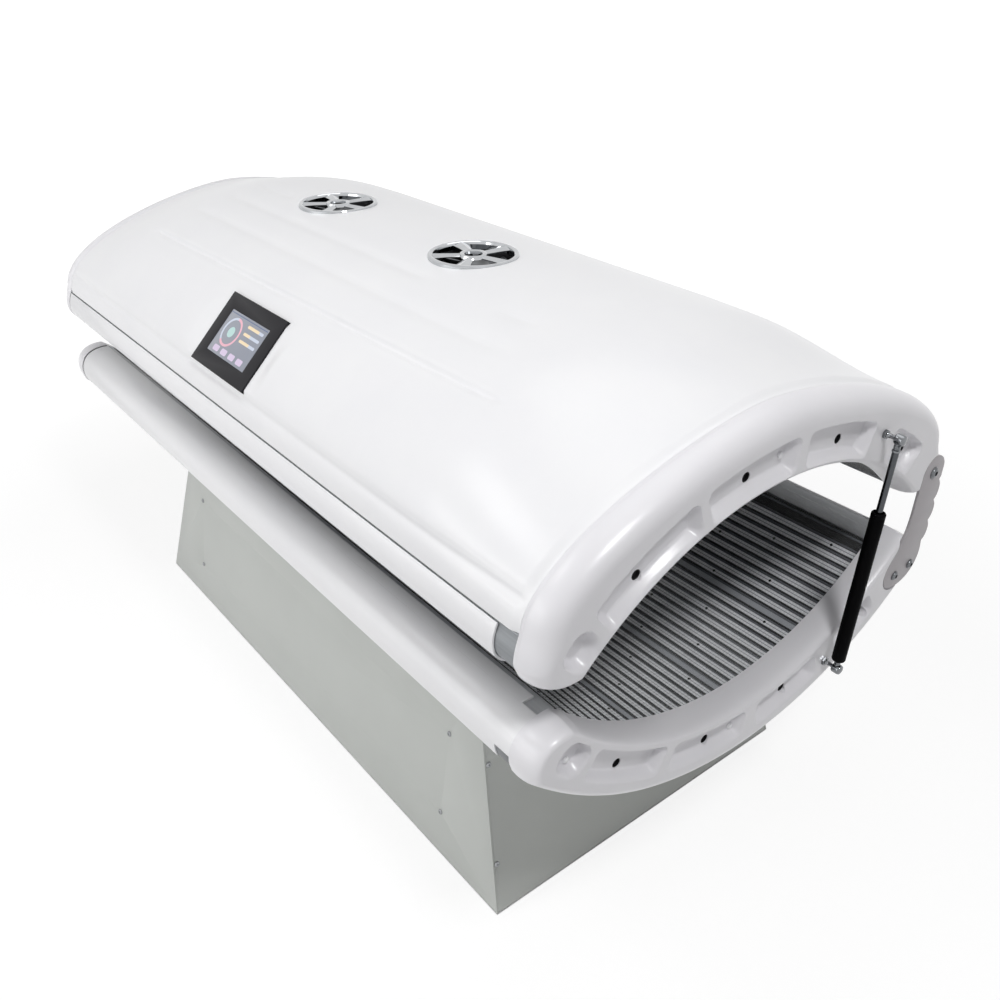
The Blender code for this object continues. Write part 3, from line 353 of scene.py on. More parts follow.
# the same moulding on the end caps, a shade greyer and softer in gloss
capWhite = speckled(
    "mouldedCapWhite", "#E7E6E9", {"IOR": 1.46, "Coat Weight": 0.10, "Coat Roughness": 0.14},
    tints=("#E4E3E7", "#EBEAED"), cloudMm=140, gloss=(0.26, 0.33), grainMm=20, depthMm=0.12, bump=0.12)

# powder-coated sheet steel: light grey with the fine pebble of baked powder (drawn at 3 mm so that it shows)
basePaint = speckled(
    "powderCoatGrey", "#C3C6C2", {"IOR": 1.48}, tints=("#BEC1BD", "#C7CAC6"), cloudMm=220,
    gloss=(0.36, 0.46), grainMm=3, depthMm=0.05, bump=0.22)

# sprayed plate steel of the hinge arms: satin light grey
armPaint = speckled(
    "sprayedSteelWhite", "#B2AEB1", {"IOR": 1.4}, tints=("#ADA9AC", "#B7B3B6"), cloudMm=60,
    gloss=(0.34, 0.44), grainMm=2.5, depthMm=0.05, bump=0.25)

# extruded aluminium, satin anodised: grey with die lines along the length
railMetal = speckled(
    "anodisedAluminium", "#CACCCE", {"Metallic": 0.15}, tints=("#C1C3C6", "#D2D4D6"), cloudMm=4,
    gloss=(0.42, 0.52), grainMm=2, depthMm=0.03, bump=0.3, stretch=(0.02, 1, 1))

# the canopy's rails are mill-finish: a darker, harder grey
railDark = speckled(
    "millAluminium", "#8A8D90", {"Metallic": 0.6}, tints=("#7F8285", "#95989B"), cloudMm=4,
    gloss=(0.40, 0.50), grainMm=2, depthMm=0.03, bump=0.3, stretch=(0.02, 1, 1))

# welded square tube under grey primer
framePaint = speckled(
    "primedTubeGrey", "#77797C", {"IOR": 1.48}, tints=("#6C6E71", "#808285"), cloudMm=90,
    gloss=(0.48, 0.60), grainMm=3, depthMm=0.06, bump=0.25)

# bare cold-rolled sheet of the ribs
ribSteel = speckled(
    "coldRolledSheet", "#8C8E91", {"Metallic": 1.0}, tints=("#7E8083", "#989A9D"), cloudMm=30,
    gloss=(0.38, 0.52), grainMm=1.5, depthMm=0.02, bump=0.2)

# polished chrome of the fan grilles, brighter than the small hardware
fanChrome = speckled(
    "polishedChrome", "#BEC0C3", {"Metallic": 1.0}, tints=("#B2B4B7", "#C8CACC"), cloudMm=30,
    gloss=(0.05, 0.11), grainMm=9, depthMm=0.03, bump=0.08)

# black-oxide bolts, rubbed bright on their edges
boltSteel = speckled(
    "blackOxideSteel", "#6B6D70", {"Metallic": 1.0}, tints=("#5D5F62", "#7C7E81"), cloudMm=5,
    gloss=(0.18, 0.30), grainMm=1.5, depthMm=0.02, bump=0.15)

# grey moulded rotor blades, a little worn
rotorGrey = speckled(
    "mouldedRotorGrey", "#77797C", {"IOR": 1.5}, tints=("#6E7073", "#808285"), cloudMm=20,
    gloss=(0.30, 0.42), grainMm=2, depthMm=0.04, bump=0.2)

# chrome of the ball studs and sockets, dark between its highlights
studChrome = speckled(
    "darkChrome", "#7A7C7F", {"Metallic": 1.0}, tints=("#6F7174", "#86888B"), cloudMm=8, gloss=(0.05, 0.11),
    grainMm=4, depthMm=0.02, bump=0.08)

# satin black enamel of the gas cylinder
springBlack = speckled(
    "satinBlackEnamel", "#040405", {"IOR": 1.10}, tints=("#030304", "#070708"), cloudMm=18,
    gloss=(0.44, 0.54), grainMm=2, depthMm=0.03, bump=0.15)

# hard-chromed piston rod: darker than the plated hardware, drawn along its length
rodChrome = speckled(
    "hardChromeRod", "#4E5053", {"Metallic": 1.0}, tints=("#45474A", "#585A5D"), cloudMm=9,
    gloss=(0.14, 0.22), grainMm=3, depthMm=0.02, bump=0.08)

# glass-filled black plastic of fans, inlet and control box: fine spark texture
blackPlastic = speckled(
    "texturedBlackPlastic", "#17171A", {"IOR": 1.5}, tints=("#131316", "#1D1D21"), cloudMm=25,
    gloss=(0.48, 0.62), grainMm=1.6, depthMm=0.06, bump=0.35)

# dark grey moulded display frame, nearly smooth
bezelGrey = speckled(
    "mouldedBezelGrey", "#19181C", {"IOR": 1.3}, tints=("#17161A", "#1C1B1F"), cloudMm=40,
    gloss=(0.42, 0.52), grainMm=1.6, depthMm=0.04, bump=0.25)

# zinc-plated screws, faintly mottled
zincPlate = speckled(
    "zincPlate", "#9A9C9E", {"Metallic": 1.0}, tints=("#8A8C8E", "#A8AAAC"), cloudMm=3, gloss=(0.26, 0.40),
    grainMm=1, depthMm=0.02, bump=0.2)

# soft black of seals and lamp-board screws, and painted shade inside the cap holes
matteBlack = speckled(
    "matteBlack", "#0B0B0D", {"IOR": 1.45}, tints=("#08080A", "#101013"), cloudMm=10, gloss=(0.55, 0.70),
    grainMm=1.5, depthMm=0.03, bump=0.2)

# lamp chips: milky resin in a white cup
chipResin = speckled(
    "lampChipResin", "#F4F5F6", {"IOR": 1.54, "Coat Weight": 0.3, "Coat Roughness": 0.1},
    tints=("#ECEDF0", "#FAFAFB"), cloudMm=9, gloss=(0.16, 0.28), grainMm=1.2, depthMm=0.03, bump=0.2)

# cast acrylic sheet: clear, seen by its reflections, which grow at a glancing angle
clearSheet, shader = newFinish("castAcrylic", "#F2F5F6", {"IOR": 1.49, "Roughness": 0.06})
edgeOn = addNode(clearSheet, "LayerWeight", {"Blend": 0.32})
haze = remap(clearSheet, noise(clearSheet, 300, 2.0, objectSpot(clearSheet)), 0.0, 0.012)
cover = remap(clearSheet, edgeOn, 0.01, 0.10)
feed(clearSheet, maths(clearSheet, "ADD", cover, haze), shader.inputs["Alpha"])
print("finishes made", len(bpy.data.materials))


# forms shared by the shell, the caps and the rails, in metres

bedForm = {
    "capFace": 1.070, "capBack": 1.006, "bay": 1.0057, "arcR": 0.630, "arcEnd": 45.2,
    "tubArcZ": 1.138, "canopyArcZ": 0.353, "halfW": 0.535, "edgeZ": 0.889,
    "riseEnd": 0.236, "riseMid": 0.280, "powerEnd": 1.45, "powerMid": 1.90, "crest": 0.10,
    "crownX": 0.700, "pivot": (0.512, 0.832), "platformX": 0.7253,
    "bellyZ": 0.378, "bellySquare": 0.1960, "bellyFourth": 0.0441,
    "tubToe": ((0.545, 0.622), (0.562, 0.660), (0.545, 0.715), (0.467, 0.7085)),
    "tubRear": ((0.545, 0.622), (0.560, 0.644), (0.500, 0.677), (0.459, 0.704)),
    "canopyToe": ((0.570, 0.825), (0.525, 0.775)),
}


def canopyPoint(u, blend, lift):
    s = np.sin(u * np.pi / 2)
    rise = bedForm["riseEnd"] + (bedForm["riseMid"] - bedForm["riseEnd"]) * blend + lift
    power = bedForm["powerEnd"] + (bedForm["powerMid"] - bedForm["powerEnd"]) * blend
    crest = bedForm["crest"] ** power
    fall = (np.hypot(s, bedForm["crest"]) ** power - crest) / (np.hypot(1, bedForm["crest"]) ** power - crest)
    return (bedForm["halfW"] + lift) * s, bedForm["edgeZ"] + rise * np.sqrt(np.maximum(0, 1 - fall))


def bellyZ(y):
    share = y / bedForm["tubToe"][0][0]
    return bedForm["bellyZ"] + bedForm["bellySquare"] * share ** 2 + bedForm["bellyFourth"] * share ** 4


def tubToe(count, inset=0.0, edge="tubToe"):
    (y0, z0), (y1, z1), (y2, z2), (y3, z3) = bedForm[edge]
    return bezier((y0 - 0.4 * inset, z0 + 0.5 * inset), (y1 - 0.8 * inset, z1),
                  (y2 - 0.6 * inset, z2 - 0.5 * inset), (y3, z3 - 0.45 * inset), count)


def canopyToe(count, inset=0.0):
    turn, radius = math.radians(bedForm["arcEnd"]), bedForm["arcR"] + 0.4 * inset
    (y1, z1), (y2, z2) = bedForm["canopyToe"]
    return bezier((radius * math.sin(turn), bedForm["canopyArcZ"] + radius * math.cos(turn)),
                  (y2 - 0.45 * inset, z2 + 0.75 * inset), (y1 - 0.7 * inset, z1 + 0.35 * inset),
                  (bedForm["halfW"] - inset, bedForm["edgeZ"]), count)


# canopy shell: one crowned moulding with a raised field, a platform and shallow grooves

shellForm = {
    "fieldZ": 0.942, "fieldSoft": 0.006, "fieldStep": 0.003,
    "platformU": 0.4485, "platformSlant": -0.026, "platformStep": 0.004,
    "softU": 0.010, "wall": 0.005, "grooveDepth": 0.0046, "grooveWide": 0.013,
    "fieldLine": (0.0050, 0.0125), "platformLine": (0.0060, 0.0120), "platformFade": 0.24,
    "grooves": ((-0.245, -0.70, 0.62), (-0.150, -0.70, 0.25), (-0.060, -0.70, -0.50), (-0.150, 0.48, 0.60)),
    "fans": ((0.200, 0.0), (-0.375, 0.0)), "fanR": 0.1003, "jointDrop": 0.0048, "jointSoft": 0.021,
    "displayX": -0.037, "displayU": -0.6754, "displaySink": 0.011, "displayTilt": 45,
    "displaySize": (0.2526, 0.1786), "displayPad": 0.012, "displayRunout": 0.050,
    "fanCut": (0.12, 1.17), "displayCut": 0.10, "grooveFade": 0.03, "creaseFade": 0.04,
}
seatY, seatZ = canopyPoint(np.array(shellForm["displayU"]), 1.0, shellForm["fieldStep"])
tilt = math.radians(shellForm["displayTilt"])
seatY += shellForm["displaySink"] * math.sin(tilt)
seatZ -= shellForm["displaySink"] * math.cos(tilt)
displayTurn = Matrix.Translation((shellForm["displayX"], seatY, seatZ)) @ Matrix.Rotation(tilt, 4, "X")


def displayDrop(x, y, z):  # how far the skin sinks into the flat under the display
    across = np.abs(x - shellForm["displayX"]) - shellForm["displaySize"][0] / 2
    along = np.abs((y - seatY) * math.cos(tilt) + (z - seatZ) * math.sin(tilt))
    along = along - shellForm["displaySize"][1] / 2
    over = np.hypot(np.maximum(across, 0), np.maximum(along, 0)) - shellForm["displayPad"]
    proud = (z - seatZ) * math.cos(tilt) - (y - seatY) * math.sin(tilt)
    return np.maximum(0, proud) * (1 - smoothStep(over / shellForm["displayRunout"]))


def shellLift(u, x, y, z):
    field = smoothStep((z - shellForm["fieldZ"]) / (2 * shellForm["fieldSoft"]) + 0.5)
    edge = shellForm["platformU"] + shellForm["platformSlant"] * x
    platform = smoothStep((edge - np.abs(u)) / (2 * shellForm["softU"]) + 0.5)
    reach = bedForm["platformX"] - np.abs(x)
    platform = platform * smoothStep(reach / shellForm["platformFade"] + 0.3)
    lift = shellForm["fieldStep"] * field + shellForm["platformStep"] * platform
    # creases along the edges of the field and the platform
    depth, wide = shellForm["fieldLine"]
    lift = lift - depth * np.exp(-((z - shellForm["fieldZ"]) / wide) ** 2)
    depth, wide = shellForm["platformLine"]
    ends = smoothStep(reach / shellForm["creaseFade"])
    lift = lift - depth * np.exp(-((np.abs(u) - edge) / wide) ** 2) * ends
    for at, start, end in shellForm["grooves"]:
        away = np.abs(y - at) / shellForm["grooveWide"]
        fade = shellForm["grooveFade"]
        run = smoothStep((x - start) / fade) * smoothStep((end - x) / fade)
        lift = lift - shellForm["grooveDepth"] * np.exp(-away ** 2) * run
    # falls to the cap's edge at the joint
    whole = smoothStep((bedForm["bay"] - np.abs(x)) / shellForm["jointSoft"])
    return lift * whole - shellForm["jointDrop"] * (1 - whole)


def thickened(values, spots, reach, count):  # extra grid lines round each spot
    extra = [np.linspace(s - reach, s + reach, count) for s in spots]
    low, high = values[0], values[-1]
    found = np.unique(np.round(np.concatenate([values] + extra), 5))
    return found[(found >= low) & (found <= high)]


bay = bedForm["bay"]
# finer at the creases, where the platform fades, at the joints with the caps and beside the display
shellU = thickened(np.linspace(-1, 1, 161), (-0.862, 0.862, -0.449, 0.449), 0.042, 25)
shellX = thickened(np.linspace(-bay, bay, 101), (-0.715, 0.715), 0.014, 9)
shellX = thickened(shellX, (-bay + 0.016, bay - 0.016), 0.0159, 17)
shellX = thickened(shellX, (-0.20, 0.13), 0.05, 9)


def shellPlace(column, row):
    x, u = shellX[column], shellU[row]
    blend = 1 - smoothStep((np.abs(x) - bedForm["crownX"]) / (bedForm["capBack"] - bedForm["crownX"]))
    y, z = canopyPoint(u, blend, 0 * u)
    y, z = canopyPoint(u, blend, shellLift(u, x, y, z))
    drop = displayDrop(x, y, z)
    return np.stack([x, y + drop * math.sin(tilt), z - drop * math.cos(tilt)], 1)


shell = facedOut(bentGrid(len(shellX) - 1, len(shellU) - 1, shellPlace))
middle = min(shell.data.polygons, key=lambda face: face.center.xy.length)
if middle.normal.z < 0:
    shell.data.flip_normals()
applied(shell, "SOLIDIFY", thickness=shellForm["wall"], offset=-1.0, use_rim=True)
deep, middleZ = shellForm["fanCut"]
for x, y in shellForm["fans"]:
    carved(shell, rod(96, shellForm["fanR"], deep, (x, y, middleZ)))
carved(shell, unitBox(displayTurn @ Matrix.Diagonal((*shellForm["displaySize"], shellForm["displayCut"], 1))))
settle(shell, "canopyShellSkin", "canopy", glossWhite, 28, ["canopy_shell"])
print("canopy shell", len(shell.data.polygons), "faces")


# end caps: deep mouldings with a rounded rim and five soft pockets in the face

capForm = {
    "columns": 400, "faceRows": 44, "filletRows": 9,
    "jointSoft": 0.0125, "jointRows": 8, "cornerReach": 45, "cornerPasses": 400,
    "pocketR": (0.645, 0.718), "pocketDepth": 0.022, "wallOut": 0.0055, "wallIn": 0.022,
    "corner": (0.017, 0.029), "holeR": 0.0098, "holeCut": (0.06, 1.055), "seatEnd": 1.09,
    "seatReach": (0.088, 0.112), "seatFront": 0.48, "seatFloor": 0.0003, "knee": 0.85,
    "tubTrim": (0.005, 0.001), "pocketGrow": 0.004, "smallPocket": 0.05,
}
capKinds = {
    "canopy": {
        "arcZ": bedForm["canopyArcZ"], "up": 1, "fillet": (0.051, 0.042), "drop": 0.0048, "body": "canopy",
        "pockets": ((-45.0, -39.8), (-37.6, -18.6), (-16.4, 1.4), (4.0, 20.4), (27.2, 37.6)),
        "holes": ((-29.87, 0.6695), (-7.59, 0.6737), (13.98, 0.678), (35.2, 0.690)),
        "screws": ((-0.5, 0.682),),
    },
    "tub": {
        "arcZ": bedForm["tubArcZ"], "up": -1, "fillet": (0.051, 0.031), "drop": 0.0010, "body": "bed",
        "pockets": ((-46.0, -40.4), (-38.4, -21.2), (-18.6, -1.2), (2.4, 17.4), (23.2, 33.4)),
        "holes": ((-29.85, 0.689), (-8.41, 0.694), (10.85, 0.696), (31.8, 0.703)),
        "screws": ((-42.3, 0.692), (-2.4, 0.696)),
    },
}


def capHalfLoop(kind, inset, edge):  # half of the cap's outline: crown, toe, inner arc
    radius = bedForm["arcR"] + 0.4 * inset
    turn = np.radians(np.linspace(bedForm["arcEnd"], 0, 240))
    if kind == "canopy":
        y, z = canopyPoint(np.linspace(0, 1, 400), np.zeros(400), np.full(400, -inset))
        inner = np.stack([radius * np.sin(turn), bedForm["canopyArcZ"] + radius * np.cos(turn)], 1)
        toe = canopyToe(160, inset)[::-1]
    else:
        y = (bedForm["tubToe"][0][0] - 0.4 * inset) * np.sin(np.linspace(0, np.pi / 2, 400))
        z = bellyZ(y) + inset
        inner = np.stack([radius * np.sin(turn), bedForm["tubArcZ"] - radius * np.cos(turn)], 1)
        toe = tubToe(160, inset, edge)
    loop = np.concatenate([np.stack([y, z], 1)[:-1], toe[:-1], inner])
    if kind == "canopy":  # the corner where the crown meets the toe is rounded off
        low, high = len(y) - 1 - capForm["cornerReach"], len(y) - 1 + capForm["cornerReach"]
        for _ in range(capForm["cornerPasses"]):
            loop[low:high] = (loop[low - 1:high - 1] + 2 * loop[low:high] + loop[low + 1:high + 1]) / 4
    return loop


def capRays(kind, inset, edge):  # the outline as two radii over the angle about the arc's centre
    spec = capKinds[kind]
    loop = capHalfLoop(kind, inset, edge)
    rise = spec["up"] * (loop[:, 1] - spec["arcZ"])
    angle, radius = np.arctan2(loop[:, 0], rise), np.hypot(loop[:, 0], rise)
    tip = int(np.argmax(angle))
    outer = (np.maximum.accumulate(angle[:tip + 1]), radius[:tip + 1])
    inner = (np.maximum.accumulate(angle[tip:][::-1]), radius[tip:][::-1])
    return angle[tip], outer, inner


def pocketDepth(kind, angle, radius):
    # rounded corners, steep on the outer side, a soft slope to the inner lip
    low, high = capForm["pocketR"]
    if kind == "tub":
        low, high = low + capForm["tubTrim"][0], high - capForm["tubTrim"][1]
    middle, tall = (low + high) / 2, (high - low) / 2
    inner, outer = ("wallIn", "wallOut") if kind == "canopy" else ("wallOut", "wallIn")
    wall = capForm[inner] + (capForm[outer] - capForm[inner]) * smoothStep((radius - low) / (high - low))
    depth = np.zeros_like(angle)
    for start, end in capKinds[kind]["pockets"]:
        half = math.radians(end - start) / 2 * middle + capForm["pocketGrow"]
        # the small toe pockets are nearly oval
        corner = min(capForm["corner"][half < capForm["smallPocket"]], 0.95 * half)
        along = np.abs(angle - math.radians((start + end) / 2)) * middle - half + corner
        across = np.abs(radius - middle) - tall + corner
        out = np.hypot(np.maximum(along, 0), np.maximum(across, 0))
        out = out + np.minimum(np.maximum(along, across), 0) - corner
        depth = np.maximum(depth, capForm["pocketDepth"] * smoothStep(-out / wall))
    return depth


def buildCap(kind):
    spec = capKinds[kind]
    deep, inset = spec["fillet"]
    depth = bedForm["capFace"] - bedForm["capBack"]
    rim = []
    for k in range(capForm["jointRows"]):
        run = k / capForm["jointRows"]
        rim.append((capForm["jointSoft"] * run, spec["drop"] * (1 - float(smoothStep(run)))))
    for k in range(capForm["filletRows"] + 1):
        turn = math.pi / 2 * k / capForm["filletRows"]
        rim.append((depth - deep + deep * math.sin(turn), inset * (1 - math.cos(turn))))
    rays = [[capRays(kind, step, edge) for edge in ("tubToe", "tubRear")] for _, step in rim]
    # columns crowd together at the two tips, where the outline turns round
    share = np.linspace(-1, 1, capForm["columns"] + 1)
    flat, knee = np.abs(share), capForm["knee"]
    level = 2 * knee / (1 + knee)
    spread = np.where(flat <= knee, flat * level / knee, 1 - (1 - level) * ((1 - flat) / (1 - knee)) ** 2)
    spread = np.copysign(np.minimum(spread, 1), share)

    def rimRow(index, chain):
        (frontTip, *front), (rearTip, *rear) = rays[index]
        angle = np.where(share < 0, frontTip, rearTip) * spread
        pick = 0 if chain == "outer" else 1
        radius = np.where(share < 0, np.interp(-angle, *front[pick]), np.interp(angle, *rear[pick]))
        return bedForm["capBack"] + rim[index][0], angle, radius

    rows = [rimRow(index, "outer") for index in range(len(rim))]
    last = len(rim) - 1
    top, low = rimRow(last, "outer"), rimRow(last, "inner")
    for k in range(1, capForm["faceRows"]):
        radius = top[2] + (low[2] - top[2]) * k / capForm["faceRows"]
        rows.append((top[0] - pocketDepth(kind, top[1], radius), top[1], radius))
    rows += [rimRow(index, "inner") for index in reversed(range(len(rim)))]
    rows.append(rows[0])
    xs = np.stack([np.broadcast_to(r[0], share.shape) for r in rows])
    angles = np.stack([r[1] for r in rows])
    radii = np.stack([r[2] for r in rows])

    def place(column, row):
        angle, radius = angles[row, column], radii[row, column]
        return np.stack([xs[row, column], radius * np.sin(angle),
                         spec["arcZ"] + spec["up"] * radius * np.cos(angle)], 1)

    return closeUp(bentGrid(capForm["columns"], len(rows) - 1, place))


# the hinge arm's outline: round head on the pivot, three scallops behind, a foot over two bolts

armForm = {
    "headR": 0.038, "thick": 0.006, "face": 1.0695, "swing": 0.0028, "seatGap": 0.0030,
    "soft": (0.0009, 2, 30),
    "rear": (((0.5485, 0.812), (0.5440, 0.8065)),
             ((0.5440, 0.8065), (0.5515, 0.794), (0.5528, 0.780), (0.5500, 0.767), (0.5425, 0.7575)),
             ((0.5425, 0.7575), (0.5500, 0.745), (0.5510, 0.731), (0.5475, 0.718), (0.5395, 0.7085)),
             ((0.5395, 0.7085), (0.5460, 0.695), (0.5460, 0.681), (0.5410, 0.668), (0.5320, 0.660))),
    "foot": ((0.5320, 0.660), (0.5350, 0.642), (0.5330, 0.622), (0.5230, 0.600), (0.5040, 0.583),
             (0.4780, 0.574), (0.4470, 0.573), (0.4240, 0.583), (0.4120, 0.603), (0.4130, 0.626),
             (0.4240, 0.646), (0.4440, 0.671), (0.4590, 0.700), (0.4670, 0.733), (0.4700, 0.770),
             (0.4715, 0.805)),
    "bolts": ((0.504, 0.612), (0.450, 0.604)),
}


def smoothRun(points, steps):  # a curve through the points
    points = np.array(points, float)
    if len(points) < 3:
        return points
    ends = np.concatenate([[2 * points[0] - points[1]], points, [2 * points[-1] - points[-2]]])
    found = []
    for i in range(1, len(ends) - 2):
        a, b, c, d = ends[i - 1:i + 3]
        for t in np.linspace(0, 1, steps, endpoint=False):
            found.append(0.5 * (2 * b + (c - a) * t + (2 * a - 5 * b + 4 * c - d) * t * t
                                + (3 * b - a - 3 * c + d) * t ** 3))
    return np.array(found + [points[-1]])


def armOutline():
    py, pz = bedForm["pivot"]
    head = [(py + armForm["headR"] * math.cos(a), pz + armForm["headR"] * math.sin(a))
            for a in np.radians(np.linspace(170, 10, 33))]
    rear = [point for part in armForm["rear"] for point in smoothRun(part, 5)[:-1]]
    return np.concatenate([head, rear, smoothRun(armForm["foot"], 4)])


def onCap(spec, degrees, radius):  # a place on the cap's face, by angle and radius
    turn = math.radians(degrees)
    return radius * math.sin(turn), spec["arcZ"] + spec["up"] * radius * math.cos(turn)


armBack = armForm["face"] - armForm["thick"]
for kind, spec in capKinds.items():
    cap = buildCap(kind)
    py, pz = bedForm["pivot"]
    if kind == "canopy":  # open to the rear and below, so that the cap clears the fixed arm
        ring = armForm["headR"] + armForm["swing"]
        back, down = capForm["seatReach"]
        half = np.radians(np.linspace(180, 0, 41))
        seat = [(py + ring * math.cos(a), pz + ring * math.sin(a)) for a in half]
        seat += [(py + back, pz), (py + back, pz - down)]
        front = [p for p in smoothRun(armForm["foot"], 4) if p[1] > pz - down and p[0] < capForm["seatFront"]]
        seat += [(p[0] - armForm["swing"], p[1]) for p in front]
        start = armBack - armForm["swing"]
    else:
        grown = armOutline()
        seat = leftOf(np.concatenate([grown, grown[:1]]), armForm["seatGap"])[:-1]
        start = armBack - capForm["seatFloor"]
    carved(cap, runAlong(seat, start, capForm["seatEnd"]))
    deep, middleX = capForm["holeCut"]
    carved(cap, joined([rod(40, capForm["holeR"], deep, (middleX, *onCap(spec, *hole)), math.pi / 2)
                        for hole in spec["holes"]]))
    settleBoth(cap, kind + "Cap", spec["body"], capWhite, 40, f"{kind}_end_cap")
    print(kind, "caps", len(cap.data.polygons), "faces")

# black cups in the cap holes, painted shade for their dark depth, and the white screws in the pockets

fittingForm = {"outer": 0.0097, "inner": 0.0080, "floorX": 1.0470, "depth": 0.012, "screwX": 1.0492}
holeShadeLine = [(0, -fittingForm["depth"]), (fittingForm["outer"], -fittingForm["depth"]),
              (fittingForm["outer"], -0.0004), (fittingForm["inner"], 0.0), (fittingForm["inner"], -0.006),
              (0, -0.0065)]
screwLine = [(0, -0.004), (0.0062, -0.004), (0.0062, 0.0012), (0.0055, 0.0028), (0.0034, 0.0040), (0, 0.0044)]
sideways = Matrix.Rotation(math.pi / 2, 4, "Y")
fittings = (("HoleSleeves", "holes", holeShadeLine, 32, fittingForm["floorX"], "black_plastic", matteBlack),
            ("CapScrews", "screws", screwLine, 24, fittingForm["screwX"], "white_gloss", glossWhite))
for kind, spec in capKinds.items():
    made = [joined([moved(turned(line, steps), Matrix.Translation((x, *onCap(spec, *at))) @ sideways)
                    for at in spec[spots]]) for _, spots, line, steps, x, _, _ in fittings]
    for group, (name, *_, slot, finish) in zip(made, fittings):
        settleBoth(group, kind + name, spec["body"], finish, 35)
print("cap sleeves and screws")


# lengthways edges: rails, rounded covers and the white strips that stop short of the caps

edgeForm = {"stripStop": 0.037, "canopyStop": 0.047, "sealWide": 0.0070, "sealSink": 0.0022,
            "notchTop": 0.651, "notchY": 0.54, "notchZ": 0.617, "notchDeep": 0.08, "notchOver": 0.01,
            "soft": 0.00025, "inside": 0.0050, "tubSink": 0.0010, "canopySink": 0.0008, "sealGap": 0.0002,
            "plateSink": (0.0030, 0.0048), "plateGap": (0.0005, 0.0003), "railSoft": (0.0006,)}
stripStart, stripEnd = edgeForm["sealWide"] - bay, bay - edgeForm["stripStop"]


def pulled(line, near, far, sign, x0, x1):  # an edge piece with its corners eased
    return softEdges(runAlong(band(line, near, far, sign), x0, x1), edgeForm["soft"])


for label, sign, edge in (("front", -1, "tubToe"), ("rear", 1, "tubRear")):
    end, inside, sink = label.capitalize(), edgeForm["inside"], edgeForm["tubSink"]
    tubLine = tubToe(340, edge=edge)
    cover = runAlong(band(tubLine[:302:4], sink, inside, sign), stripStart, bay)
    # a notch at the right end shows the rail
    over, z = edgeForm["notchOver"], edgeForm["notchZ"]
    middle = Matrix.Translation(((stripEnd + bay + over) / 2, sign * edgeForm["notchY"], z))
    size = (bay + over - stripEnd, edgeForm["notchDeep"], 2 * (edgeForm["notchTop"] - z))
    notch = unitBox(middle @ Matrix.Diagonal((*size, 1)))
    softEdges(carved(cover, notch), edgeForm["soft"])
    settle(cover, "tubCover" + end, "bed", glossWhite, 30, [f"tub_{label}_cover"])
    strip = pulled(tubLine[300:], sink, inside, sign, stripStart, stripEnd)
    settle(strip, "tubStrip" + end, "bed", glossWhite, 30, [f"tub_{label}_strip"])
    canopyLine = canopyToe(98)[36:97]
    strip = pulled(canopyLine, edgeForm["canopySink"], inside, sign, stripStart, bay - edgeForm["canopyStop"])
    settle(strip, "canopyStrip" + end, "canopy", glossWhite, 30, [f"canopy_{label}_strip"])
    for part, body, line, finish in (("tub", "bed", tubToe(60, edge=edge), railMetal),
                                     ("canopy", "canopy", canopyLine, railDark)):
        # a black rubber seal fills the joint at the far cap
        seal = pulled(line, edgeForm["sealSink"], inside, sign, -bay,
                      stripStart - edgeForm["sealGap"])
        settle(seal, part + "Seal" + end, body, matteBlack)
        settleCad(f"{part}_{label}_rail", part + "Rail" + end, body, finish,
                  edgeForm["railSoft"])
    # the primed plate seen in the notch
    left, right = edgeForm["plateGap"]
    plate = pulled(tubToe(100, edge=edge)[:25], *edgeForm["plateSink"], sign, stripEnd + left, bay - right)
    settle(plate, "notchPlate" + end, "bed", framePaint)
print("rails, covers and strips")

settleCad("tub_belly", "tubBelly", "bed", glossWhite)
settleCad("tub_acrylic", "tubAcrylic", "bed", clearSheet)
settleCad("canopy_acrylic", "canopyAcrylic", "canopy", clearSheet)
print("belly and acrylic sheets")


# lamp boards: two rows of chips a strip in four sections, plain strips at the joints, and dark screws

lampForm = {"boards": 41, "section": 10, "fill": 0.60, "endDeg": 42.036, "topR": 0.6557,
            "chip": (0.0040, 0.0040, 0.0012), "narrow": 0.72, "endGap": 0.010,
            "pitch": 0.0085, "rows": (-0.0034, 0.0034), "grimeMm": 35, "gloss": (0.40, 0.54),
            "track": (0.05, 0.12), "ridge": (0.395, 0.408), "stripEdge": 0.94,
            "screwR": 0.0030, "screwStart": -0.86, "screwStep": 0.335, "screwShift": 0.06, "screwLimit": 0.99,
            # the canopy's boards are the tub's boards painted darker: painted shade on their downward face
            "tone": {"tub": ("#D0D2D7", "#E6E7EA"), "canopy": ("#6E7076", "#83868C")}}


